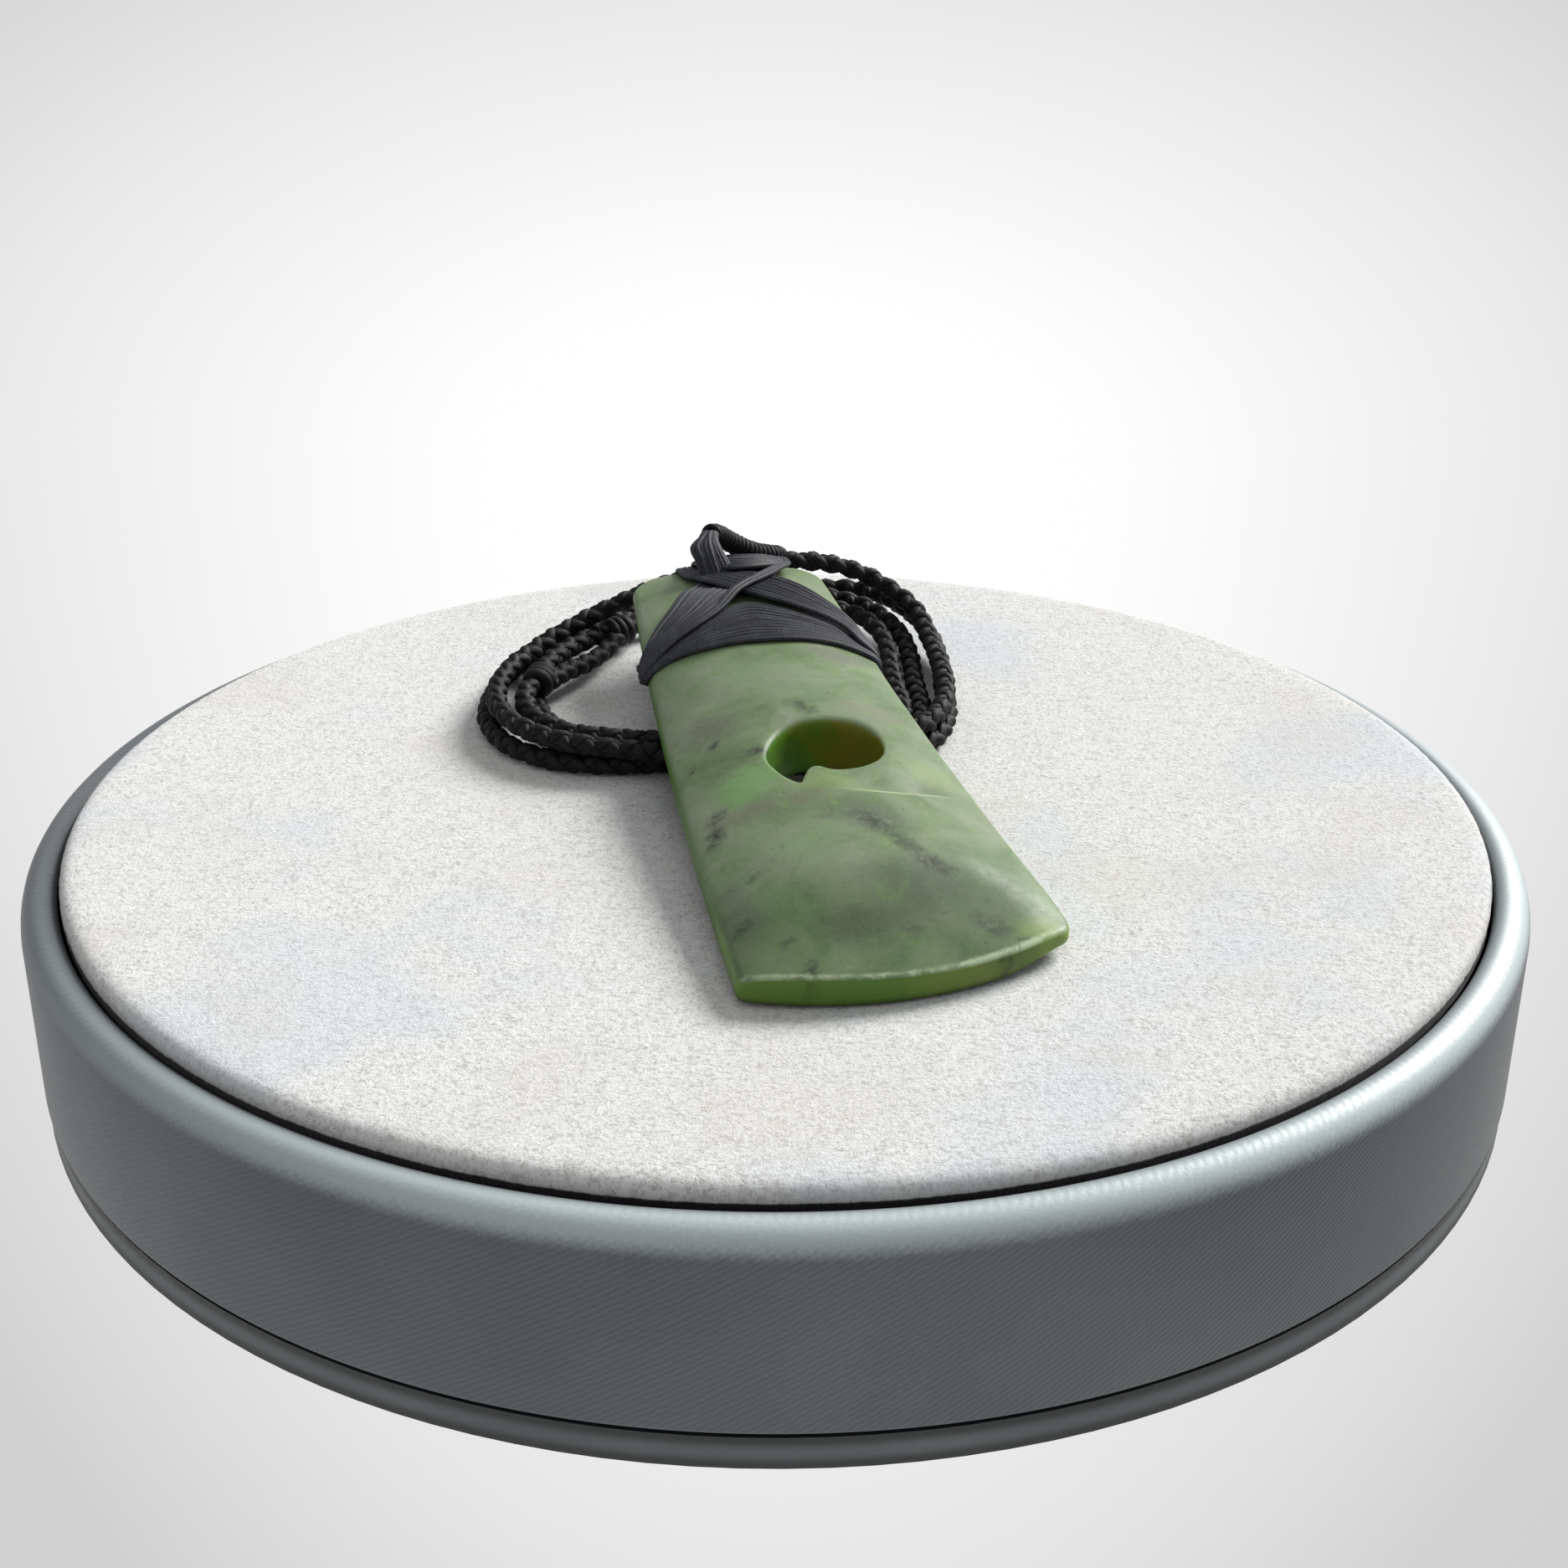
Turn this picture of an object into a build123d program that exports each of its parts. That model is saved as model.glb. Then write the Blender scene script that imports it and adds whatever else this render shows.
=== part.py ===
"""Greenstone toki (adze) pendant on a braided cord, lying on a low round display stand.

Millimetres, +Z up. The origin is the centre of the stand's underside, and +Y runs from the
blade's cutting edge towards its lashed end.
"""

from math import asin, cos, degrees, hypot, pi, radians, sin, sqrt, tan
import os

from build123d import *

os.makedirs("parts", exist_ok=True)

# Clearances
seat_gap = 0.05        # between pieces that lie on one another
lash_gap = 0.06        # between one layer of lashing and the next
rest_gap = 0.05        # between the blade's back and the coil that props it

# Round stand, from the floor up
stand_diameter = 150.0
base_setback = 0.2
base_height = 3.0
groove_height = 0.7
groove_depth = 0.9
drum_height = 18.2
rim_width = 3.0
rim_roll = 1.8
rim_inner_roll = 0.7
recess_depth = 1.5
pad_thickness = 2.85
pad_edge_gap = 0.8
pad_edge_roll = 1.2

# Blade
blade_length = 86.1
blade_thickness = 6.3
edge_width = 31.0
poll_width = 22.2
poll_corner = 4.2
left_corner = 1.0
right_corner = 1.6
edge_thickness = 2.8
back_round = 0.5
face_round = 0.4
face_margin = 1.5      # how far the arched face is drawn past the blade's sides
bevel_length = 11.0
bevel_depth = 3.55
bevel_hollow = 22.0

# Eye of the blade: an oval with a small hooked tail
eye_width = 11.4
eye_height = 9.8
eye_tail = 5.0
eye_across = 1.0
eye_along = 35.0
tail_across = -2.6
tail_along = 31.3
eye_left_blend = 3.6
eye_right_blend = 0.5

# Carved step below the eye
step_along = 25.1
step_left = -2.0
step_slope = 5.5

# Where the blade lies on the pad
blade_heading = 13.45
edge_x = 11.76
edge_y = -44.06

# Lashing, in layers of one thread
thread = 0.62
lash_slant = 0.5       # lean of the straps towards the poll on their way down the sides
bail_diameter = 2.3
bail_bend = 2.0

# Braided cord and its coil
cord_diameter = 2.4
coil_width = 53.6
coil_depth = 52.8
coil_band = 9.0
coil_shift = 1.4       # how far the middle of the coil lies towards its front
coil_lower_height = 2.5
coil_height = 4.7
coil_top_inset = 1.0
coil_top_band = 4.4
coil_round = 1.1
coil_left = -33.8
coil_front = 1.8
knot_diameter = 3.6
knot_length = 4.6
knot_round = 0.8

# Heights that follow from the stand
stand_radius = stand_diameter / 2
drum_bottom = base_height + groove_height
rim_top = drum_bottom + drum_height
recess_floor = rim_top - recess_depth
pad_bottom = recess_floor + seat_gap
pad_top = pad_bottom + pad_thickness

# Sections of the blade: share of its length, of its thickness at the crest and at the margin
blade_sections = [
    (-0.06, 1.02, 0.29),
    (0.42, 0.97, 0.20),
    (0.72, 0.89, 0.12),
    (0.88, 0.66, 0.15),
    (1.04, 0.32, 0.19),
]

# Outline of the blade: share of the edge's width across, share of the length along
edge_centre = 0.024
left_tip = (-0.476, 0.032)
edge_low = (-0.060, 0.0)
right_tip = (0.524, 0.060)
left_bulge = (-0.434, 0.445)
right_waist = (0.440, 0.335)
right_shoulder = (0.400, 0.625)
poll_centre = 0.058

# Plans of the lashing: share of the poll's width across, share of the blade's length along
lash_side = 0.72
lash_start = 0.685
band_plan_points = [(-lash_side, 0.738), (0.02, 0.795), (lash_side, 0.738)]
under_plan_points = [
    (lash_side, 0.700),
    (0.468, 0.712),
    (0.423, 0.734),
    (0.279, 0.772),
    (0.144, 0.789),
    (0.0, 0.818),
    (-0.225, 0.871),
    (-0.120, 0.924),
    (-0.080, 1.07),
    (0.022, 1.07),
    (0.022, 0.948),
    (0.135, 0.90),
    (0.297, 0.867),
    (0.387, 0.818),
    (0.477, 0.766),
    (0.54, 0.732),
    (lash_side, 0.722),
]
over_plan_points = [
    (-lash_side, 0.680),
    (-0.428, 0.702),
    (-0.252, 0.733),
    (-0.099, 0.773),
    (0.063, 0.808),
    (0.315, 0.879),
    (0.333, 0.924),
    (0.333, 1.07),
    (-0.045, 1.07),
    (-0.09, 0.90),
    (-0.261, 0.841),
    (-0.36, 0.815),
    (-0.446, 0.773),
    (-0.56, 0.725),
    (-lash_side, 0.712),
]
head_plan_points = [
    (-0.284, 0.875),
    (-0.189, 0.842),
    (-0.054, 0.815),
    (0.027, 0.813),
    (0.153, 0.836),
    (0.297, 0.870),
    (0.342, 0.924),
    (0.351, 1.08),
    (-0.060, 1.08),
    (-0.120, 0.935),
]

# Route of the bail: out of the wrap, over the cord and in again behind, as shares of the
# poll's width across, the blade's length along and its thickness up
bail_route = [
    (-0.063, 0.897, 0.63),
    (-0.054, 0.938, 1.06),
    (-0.009, 0.990, 1.08),
    (0.099, 1.041, 0.77),
    (0.225, 1.076, 0.26),
    (0.315, 1.076, -0.35),
    (0.324, 1.024, -0.66),
    (0.306, 0.961, -0.61),
    (0.297, 0.920, -0.16),
]

# Rim of the coil: share of its width across, share of its depth along, and the rounding of
# that corner as a share of its depth
coil_rim = [
    (0.0, 0.0, 0.28),
    (1.0, 0.0, 0.28),
    (1.0, 1.0, 0.40),
    (0.25, 1.0, 0.24),
    (0.03, 0.54, 0.38),
]

# Route of the cord's free span, above the pad: from the coil, through the bail, to the coil
span_route = [
    (-28.8, 30.6, 3.4),
    (-26.0, 35.4, 3.9),
    (-21.6, 38.8, 5.4),
    (-15.9, 40.9, 7.4),
    (-9.6, 42.5, 9.2),
    (-2.8, 43.9, 10.2),
    (3.4, 45.3, 10.0),
    (8.0, 46.7, 8.8),
    (12.1, 46.4, 7.1),
    (15.2, 44.2, 5.6),
    (17.2, 40.6, 4.4),
    (17.7, 36.2, 3.7),
]

# Sliding knots: centre above the pad, and the way the cord runs through
knot_places = {
    "sliding_knot_a": ((-19.2, 40.5, 2.6), 40.0),
    "sliding_knot_b": ((-26.6, 22.0, 3.5), 78.0),
}


def write(shape, name):
    export_step(shape, f"parts/{name}.step")


# Blade's own frame: across to the right, along from the edge to the poll, up off the back
shoulder_across = right_shoulder[0] * edge_width
rest_front = coil_front + coil_top_inset
rest_run = (rest_front - edge_y - shoulder_across * sin(radians(blade_heading))) / cos(
    radians(blade_heading)
)
blade_tilt = degrees(asin((coil_height + rest_gap) / rest_run))
along_way = Vector(0, 1, 0).rotate(Axis.X, blade_tilt).rotate(Axis.Z, blade_heading)
across_way = Vector(1, 0, 0).rotate(Axis.Z, blade_heading)
blade_lie = Plane(
    origin=(edge_x, edge_y, pad_top + seat_gap),
    x_dir=across_way,
    z_dir=across_way.cross(along_way),
).location


def face_arch(share, crest_share, margin_share):
    """Middle, half width, crest height and radius of the arched face at a share of the length."""
    centre = (edge_centre + (poll_centre - edge_centre) * share) * edge_width
    half = (edge_width + (poll_width - edge_width) * share) / 2 + face_margin
    crest = blade_thickness * crest_share
    rise = crest - blade_thickness * margin_share
    return centre, half, crest, (half**2 + rise**2) / (2 * rise)


def face_section(share, crest_share, margin_share, grow):
    """One section across the blade, a flat back under an arched face."""
    centre, half, crest, radius = face_arch(share, crest_share, margin_share)
    left = centre - half - grow
    right = centre + half + grow
    shoulder = crest - radius + sqrt((radius + grow) ** 2 - (half + grow) ** 2)
    floor = -grow - blade_thickness
    outline = Polyline((right, shoulder), (right, floor), (left, floor), (left, shoulder))
    arch = ThreePointArc((left, shoulder), (centre, crest + grow), (right, shoulder))
    place = Plane(origin=(0, share * blade_length, 0), x_dir=(1, 0, 0), z_dir=(0, -1, 0))
    return place * make_face(outline + arch)


def blade_plan(grow):
    """Outline of the blade seen square to its back, grown by a margin."""
    def at(point, sideways, onward):
        return (point[0] * edge_width + sideways * grow, point[1] * blade_length + onward * grow)

    half = poll_width / 2 + grow
    poll_left = (poll_centre * edge_width - half, blade_length + grow)
    poll_right = (poll_centre * edge_width + half, blade_length + grow)
    tip_left = at(left_tip, -1, -1)
    tip_right = at(right_tip, 1, -1)
    shoulder = at(right_shoulder, 1, 0)
    edge = ThreePointArc(tip_left, at(edge_low, 0, -1), tip_right)
    right = ThreePointArc(tip_right, at(right_waist, 1, 0), shoulder)
    poll = Polyline(shoulder, poll_right, poll_left)
    left = ThreePointArc(poll_left, at(left_bulge, -1, 0), tip_left)
    plan = make_face(edge + right + poll + left)
    for corner, rounding in (
        (poll_left, poll_corner),
        (poll_right, poll_corner),
        (tip_left, left_corner),
        (tip_right, right_corner),
    ):
        vertex = plan.vertices().sort_by_distance(corner)[0]
        plan = fillet(vertex, rounding + grow)
    return plan


def blade_form(grow=0.0):
    """The blade before its bevel, eye and step, grown by a margin on every side."""
    slab = Pos(0, 0, -grow) * extrude(blade_plan(grow), 2 * (blade_thickness + grow))
    dome = loft([face_section(*row, grow) for row in blade_sections])
    form = slab & dome
    face = form.faces().sort_by(Axis.Z)[-1]
    form = fillet(face.edges(), face_round + grow)
    back = form.faces().sort_by(Axis.Z)[0]
    return fillet(back.edges(), back_round)


def face_height(across, along):
    """Height of the blade's face over its back near the step, from the section beside it."""
    centre, _, crest, radius = face_arch(along / blade_length, *blade_sections[1][1:])
    return crest - radius + sqrt(radius**2 - (across - centre) ** 2)


def lash_plan(points):
    """Plan of a strap of thread from a table of shares."""
    return make_face(Polyline([(u * poll_width, v * blade_length) for u, v in points], close=True))


def lash_layer(count, plan):
    """One layer of thread about the blade, kept to a plan that holds at the crest's height."""
    outer = blade_form(count * (thread + lash_gap))
    inner = blade_form(count * (thread + lash_gap) - thread)
    lean = Vector(0, -lash_slant, 1)
    start = Pos(*(lean * -2 * blade_thickness)) * Pos(0, 0, blade_thickness) * plan
    prism = extrude(start, 3 * blade_thickness * lean.length, dir=lean)
    return (outer & prism) - inner


# Blade: the form less its hollow bevel, eye and carved step
chord = hypot(bevel_length, bevel_depth)
chord_angle = asin(bevel_depth / chord)
lift = sqrt(bevel_hollow**2 - (chord / 2) ** 2)
bevel_axis = (
    0,
    bevel_length / 2 - lift * sin(chord_angle),
    edge_thickness + bevel_depth / 2 + lift * cos(chord_angle),
)
bevel_tool = Pos(*bevel_axis) * Rot(0, 90, 0) * Cylinder(bevel_hollow, 2 * edge_width)

eye_plan = Pos(eye_across, eye_along) * Ellipse(eye_width / 2, eye_height / 2)
eye_plan += Pos(tail_across, tail_along) * Circle(eye_tail / 2)
eye_plan = fillet(eye_plan.vertices().sort_by(Axis.X)[0], eye_left_blend)
eye_plan = fillet(eye_plan.vertices().sort_by(Axis.X)[-1], eye_right_blend)
eye_tool = Pos(0, 0, -blade_thickness / 2) * extrude(eye_plan, 2 * blade_thickness)

step_right = (right_tip[0] + right_shoulder[0]) / 2 * edge_width
left_end = Vector(step_left, step_along, face_height(step_left, step_along))
right_end = Vector(step_right, step_along, face_height(step_right, step_along))
step_floor = Plane(
    origin=left_end, x_dir=right_end - left_end, z_dir=(right_end - left_end).cross(Vector(0, 1, 0))
)
step_tool = step_floor * Rot(step_slope, 0, 0) * Box(
    edge_width, edge_width, blade_thickness, align=(Align.MIN, Align.MIN, Align.MIN)
)

blade = blade_form() - bevel_tool - step_tool - eye_tool
write(blade_lie * blade, "toki_blade")

# Lashing
band_plan = make_face(
    Polyline(
        (lash_side * poll_width, band_plan_points[-1][1] * blade_length),
        (lash_side * poll_width, lash_start * blade_length),
        (-lash_side * poll_width, lash_start * blade_length),
        (-lash_side * poll_width, band_plan_points[0][1] * blade_length),
    )
    + ThreePointArc(*[(u * poll_width, v * blade_length) for u, v in band_plan_points])
)
under_plan = lash_plan(under_plan_points) - offset(band_plan, amount=lash_gap)
write(blade_lie * lash_layer(1, band_plan), "lashing_band")
write(blade_lie * lash_layer(1, under_plan), "lashing_cross_under")
head_plan = lash_plan(head_plan_points)
over_plan = lash_plan(over_plan_points) - offset(head_plan, amount=lash_gap)
over_plan = over_plan.faces().sort_by(SortBy.AREA)[-1]
write(blade_lie * lash_layer(2, over_plan), "lashing_cross_over")
write(blade_lie * lash_layer(2, head_plan), "lashing_head")

bail_size = (poll_width, blade_length, blade_thickness)
bail_points = [tuple(share * size for share, size in zip(row, bail_size)) for row in bail_route]
bail_path = FilletPolyline(*bail_points, radius=bail_bend)
bail_tube = sweep(Plane(bail_path ^ 0) * Circle(bail_diameter / 2), path=bail_path)
wrapped = blade_form(2 * (thread + lash_gap) + lash_gap)
write(blade_lie * (bail_tube - wrapped), "lashing_bail")


def coil_tier(inset, band, height):
    """One tier of the coil: a band along the rim, moved in from it, up to a height."""
    corners = [(x * coil_width, y * coil_depth) for x, y, _ in coil_rim]
    plan = make_face(Polyline(corners, close=True))
    for (x, y), (_, _, rounding) in zip(corners, coil_rim):
        vertex = plan.vertices().sort_by_distance((x, y))[0]
        plan = fillet(vertex, rounding * coil_depth)
    rim = offset(plan, amount=-inset) if inset else plan
    inside = Pos(0, -coil_shift) * offset(plan, amount=-inset - band)
    tier = extrude(rim - inside, height)
    return fillet(tier.faces().sort_by(Axis.Z)[-1].edges(), coil_round)


# Coil of the cord: the outer shape of its turns, a narrow upper tier on a wide lower one
coil = coil_tier(0, coil_band, coil_lower_height - seat_gap)
coil += coil_tier(coil_top_inset, coil_top_band, coil_height - seat_gap)
coil = fillet(coil.faces().sort_by(Axis.Z)[0].edges(), coil_round)
coil = Pos(coil_left, coil_front, pad_top + seat_gap) * coil

# Free span of the cord: straight runs joined by the widest arcs that they allow
route = [Vector(x, y, pad_top + z) for x, y, z in span_route]
radii = []
for before, corner, after in zip(route, route[1:], route[2:]):
    run_in = corner - before
    run_out = after - corner
    turn = radians(run_in.get_angle(run_out))
    radii.append(0.45 * min(run_in.length, run_out.length) / tan(turn / 2))
print("cord radii", [round(radius, 1) for radius in radii])
span_path = FilletPolyline(*route, radius=radii)
span = sweep(Plane(span_path ^ 0) * Circle(cord_diameter / 2), path=span_path)
section = pi * cord_diameter**2 / 4
print("cord span", round(span.volume, 1), "against", round(section * span_path.length, 1))
write(span, "cord_span")

# Sliding knots
for name, (centre, way) in knot_places.items():
    lie = Pos(centre[0], centre[1], pad_top + centre[2]) * Rot(0, 0, way) * Rot(0, 90, 0)
    knot = Cylinder(knot_diameter / 2, knot_length)
    knot = fillet(knot.edges().filter_by(GeomType.CIRCLE), knot_round)
    write(lie * knot, name)
    coil -= lie * Cylinder(knot_diameter / 2 + seat_gap, knot_length + 2 * seat_gap)
write(coil, "cord_coil")

# Stand: base plate with its groove, wrapped drum, and suede pad in the drum's recess
base = Cylinder(stand_radius - base_setback, base_height, align=(Align.CENTER, Align.CENTER, Align.MIN))
neck = Cylinder(
    stand_radius - groove_depth, groove_height - seat_gap, align=(Align.CENTER, Align.CENTER, Align.MIN)
)
write(base + Pos(0, 0, base_height) * neck, "stand_base")

recess_radius = stand_radius - rim_width
drum = Pos(0, 0, drum_bottom) * Cylinder(
    stand_radius, drum_height, align=(Align.CENTER, Align.CENTER, Align.MIN)
)
drum = fillet(drum.edges().group_by(Axis.Z)[-1], rim_roll)
drum -= Pos(0, 0, recess_floor) * Cylinder(
    recess_radius, 2 * recess_depth, align=(Align.CENTER, Align.CENTER, Align.MIN)
)
lip = drum.edges().filter_by(GeomType.CIRCLE).filter_by(
    lambda edge: edge.radius < recess_radius + seat_gap and edge.center().Z > recess_floor
)
drum = fillet(lip.sort_by(Axis.Z)[-1], rim_inner_roll)
write(drum, "stand_drum")

pad = Pos(0, 0, pad_bottom) * Cylinder(
    recess_radius - pad_edge_gap, pad_thickness, align=(Align.CENTER, Align.CENTER, Align.MIN)
)
pad = fillet(pad.edges().group_by(Axis.Z)[-1], pad_edge_roll)
write(pad, "stand_pad")
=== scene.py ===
"""Greenstone toki pendant on a braided cord, lying on a low round display stand."""

from math import cos, exp, pi, radians, sin, sqrt, tan

import bmesh
import bpy
import numpy as np
from mathutils import Matrix, Vector, geometry


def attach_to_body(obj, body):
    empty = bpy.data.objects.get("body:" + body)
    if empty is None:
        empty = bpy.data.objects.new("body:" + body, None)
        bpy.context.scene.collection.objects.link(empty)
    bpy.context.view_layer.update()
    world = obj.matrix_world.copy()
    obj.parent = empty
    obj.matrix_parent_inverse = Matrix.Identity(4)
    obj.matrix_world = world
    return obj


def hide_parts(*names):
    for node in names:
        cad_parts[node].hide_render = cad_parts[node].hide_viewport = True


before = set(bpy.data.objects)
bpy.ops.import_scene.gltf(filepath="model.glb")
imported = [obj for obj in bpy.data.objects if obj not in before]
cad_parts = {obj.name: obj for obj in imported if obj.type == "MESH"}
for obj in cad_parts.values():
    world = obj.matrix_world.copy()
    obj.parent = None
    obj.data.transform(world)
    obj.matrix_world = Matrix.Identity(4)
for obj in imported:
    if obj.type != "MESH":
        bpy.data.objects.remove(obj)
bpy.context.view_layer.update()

MM = 0.001
collection = bpy.context.scene.collection
random = np.random.default_rng(7)

# Sizes shared with the part's source, in millimetres
pad_top = 23.3
seat_gap = 0.05
blade_length = 86.1
blade_thickness = 6.3
edge_width = 31.0
poll_width = 22.2
thread = 0.62
lash_gap = 0.06
lash_slant = 0.5


# Camera, solved from the photo: its place in millimetres, and its turns in degrees
camera_place = (0.67, -205.31, 115.70)
camera_pitch = 24.084
camera_heading = -0.029
camera_roll = 0.149
camera_data = bpy.data.cameras.new("camera")
camera_data.sensor_fit = "HORIZONTAL"
camera_data.sensor_width = 36.0
camera_data.lens = 49.97
camera_data.clip_start = 0.01
camera_data.clip_end = 50.0
camera = bpy.data.objects.new("camera", camera_data)
collection.objects.link(camera)
camera.matrix_world = (
    Matrix.Translation(Vector(camera_place) * MM)
    @ Matrix.Rotation(radians(camera_heading), 4, "Z")
    @ Matrix.Rotation(radians(90 - camera_pitch), 4, "X")
    @ Matrix.Rotation(radians(camera_roll), 4, "Z")
)
bpy.context.scene.camera = camera


def add_mesh(name, vertices, faces, shade_smooth=True):
    """A mesh object from points in millimetres."""
    mesh = bpy.data.meshes.new(name)
    mesh.from_pydata((np.asarray(vertices) * MM).tolist(), [], faces)
    mesh.polygons.foreach_set("use_smooth", [shade_smooth] * len(mesh.polygons))
    mesh.update()
    obj = bpy.data.objects.new(name, mesh)
    collection.objects.link(obj)
    return obj


def attach(piece, slot, *node_names):
    """Hang a piece on the part's body, in place of the named nodes' solids."""
    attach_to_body(piece, "root")
    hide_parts(*node_names)
    return piece


def unit(rows):
    return rows / np.linalg.norm(rows, axis=-1, keepdims=True)


def carried_frames(path):
    """Tangents, and two sets of normals carried along the path without twist."""
    tangent = unit(np.gradient(path, axis=0))
    normal = np.empty_like(tangent)
    start = np.cross(tangent[0], (0.0, 0.0, 1.0))
    if np.linalg.norm(start) < 0.1:
        start = np.cross(tangent[0], (1.0, 0.0, 0.0))
    normal[0] = start / np.linalg.norm(start)
    for index in range(1, len(path)):
        carried = normal[index - 1] - tangent[index] * normal[index - 1].dot(tangent[index])
        normal[index] = carried / np.linalg.norm(carried)
    return tangent, normal, np.cross(tangent, normal)


def tube(path, side_way, up_way, half_side, half_up, sides, taper=0):
    """Points and faces of a closed tube of elliptic section about a path."""
    count = len(path)
    angle = np.arange(sides) * 2 * pi / sides
    size = np.ones(count)
    for step in range(taper):
        share = sqrt((step + 0.5) / taper)
        size[step] = share
        size[count - 1 - step] = share
    size = size[:, None, None]
    side_way = side_way[:, None] * (np.cos(angle) * half_side)[:, None] * size
    up_way = up_way[:, None] * (np.sin(angle) * half_up)[:, None] * size
    points = (path[:, None] + side_way + up_way).reshape(-1, 3)
    here = (np.arange(count - 1) * sides)[:, None]
    first = here + np.arange(sides)[None, :]
    second = here + (np.arange(sides)[None, :] + 1) % sides
    quads = np.stack([first, second, second + sides, first + sides], axis=-1).reshape(-1, 4)
    faces = quads.tolist()
    faces.append(list(range(sides))[::-1])
    faces.append(list(range((count - 1) * sides, count * sides)))
    return points, faces


def wall_faces(upper, lower):
    """Faces between two closed rings of points, given by their indices."""
    return [list(face) for face in zip(upper, lower, lower[1:] + lower[:1], upper[1:] + upper[:1])]


def round_tube(path, radius, sides=8, taper=0):
    _, normal, other = carried_frames(path)
    return tube(path, normal, other, radius, radius, sides, taper)


def joined(parts):
    """One list of points and faces from several."""
    points = []
    faces = []
    start = 0
    for part_points, part_faces in parts:
        points.append(part_points)
        faces.extend([[index + start for index in face] for face in part_faces])
        start += len(part_points)
    return np.concatenate(points), faces


def run_along(path):
    """Distance along a line at each of its points."""
    return np.concatenate([[0.0], np.cumsum(np.linalg.norm(np.diff(path, axis=0), axis=1))])


def evenly(path, count):
    """A number of points an even distance apart along a line."""
    run = run_along(path)
    at = np.linspace(0.0, run[-1], count)
    return np.stack([np.interp(at, run, column) for column in path.T], axis=1)


def resample(path, step, closed=False):
    """The same line with points about a step apart."""
    if closed:
        path = np.vstack([path, path[:1]])
    points = evenly(path, max(2, int(round(run_along(path)[-1] / step)) + 1))
    return points[:-1] if closed else points


def spline_line(name, points, resolution=16):
    """Points of the smooth NURBS line that has the given control points, in millimetres."""
    curve = bpy.data.curves.new(name, "CURVE")
    curve.dimensions = "3D"
    spline = curve.splines.new("NURBS")
    spline.points.add(len(points) - 1)
    for target, point in zip(spline.points, points):
        target.co = (*(value * MM for value in point), 1.0)
    spline.order_u = 3
    spline.use_endpoint_u = True
    spline.resolution_u = resolution
    holder = bpy.data.objects.new(name, curve)
    mesh = bpy.data.meshes.new_from_object(holder)
    line = np.array([vertex.co[:] for vertex in mesh.vertices]) / MM
    bpy.data.meshes.remove(mesh)
    bpy.data.objects.remove(holder)
    bpy.data.curves.remove(curve)
    return line


# Cord: the coil's middle, its rim every 15 degrees, and the free span through the bail
coil_centre = (-7.0, 28.2)
coil_rim = [
    26.8, 27.9, 29.2, 29.6, 28.9, 27.5, 26.5, 27.2, 27.1, 25.2, 24.4, 25.2,
    25.8, 27.2, 29.6, 31.1, 30.9, 28.4, 26.8, 27.3, 30.1, 32.3, 30.8, 28.1,
]
span_route = [
    (-28.8, 30.6, 3.4), (-26.0, 35.4, 3.9), (-21.6, 38.8, 5.4), (-15.9, 40.9, 7.4), (-9.6, 42.5, 9.2),
    (-2.8, 43.9, 10.2), (3.4, 45.3, 10.0), (8.0, 46.7, 8.8), (12.1, 46.4, 7.1), (15.2, 44.2, 5.6),
    (17.2, 40.6, 4.4), (17.7, 36.2, 3.7),
]
# Turns of the coil before and after the span: angle about the centre, inset from the rim, height
coil_entry = [
    (199, 8.1, 3.4), (186, 9.0, 2.8), (172, 10.1, 2.2), (158, 10.0, 2.0), (145, 9.1, 2.2),
    (133, 8.1, 2.4), (118, 7.2, 1.9), (102, 6.6, 1.4),
]
coil_tracks = [
    (86, 6.2), (-108, 6.2), (-143, 8.0), (-165, 5.8), (-195, 3.7), (-455, 3.7), (-500, 1.2),
    (-780, 1.2),
]
coil_climb = [
    (-792, 1.2, 1.3), (-804, 1.3, 1.9), (-816, 1.6, 2.7), (-828, 2.1, 3.25), (-842, 2.4, 3.45),
    (-856, 2.4, 3.45), (-870, 2.2, 3.45), (-884, 2.2, 3.4), (-896, 2.7, 3.35),
]
coil_over = [
    (3, 1.6, 3.6), (-12, 1.4, 3.5), (-27, 1.6, 3.45), (-42, 2.0, 3.4), (-57, 2.3, 3.4),
    (-72, 2.5, 3.4), (-86, 3.2, 3.4), (-98, 4.1, 3.4), (-110, 4.7, 3.4), (-122, 4.9, 3.4),
    (-134, 4.9, 3.45), (-145, 5.2, 3.5), (-155, 5.8, 3.6), (-165, 7.0, 3.7), (-175, 6.9, 3.6),
    (-188, 7.1, 3.4), (-202, 7.2, 3.2), (-214, 7.2, 3.0), (-225, 7.6, 2.8),
]
turn_step = 15
# Inner turns, those with more than this inset, gape on one side
gape_inset = 3
gape = 0.75
gape_angle = 8
gape_reach = 32
# How the turns wander in and out, and up and down: reach, waves a radian
inset_waves = [(0.16, 1.7), (0.10, 4.3)]
height_waves = [(0.05, 2.3)]
# Where a turn rides up on the ones below: angle, rise, reach
ridden = [(-668, 3.4, 26), (-306, 2.7, 28), (46, 2.3, 26)]
ridden_shift = 0.2
lower_height = 1.2


def coil_point(angle, inset, height):
    """A point of the coil, in millimetres."""
    reach = np.interp(angle, range(0, 360, turn_step), coil_rim, period=360) - inset
    way = radians(angle)
    return (coil_centre[0] + reach * cos(way), coil_centre[1] + reach * sin(way), pad_top + height)


def bell(distance):
    return exp(-distance * distance)


def wander(rows, angle):
    return sum(reach * sin(radians(angle) * rate) for reach, rate in rows)


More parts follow.
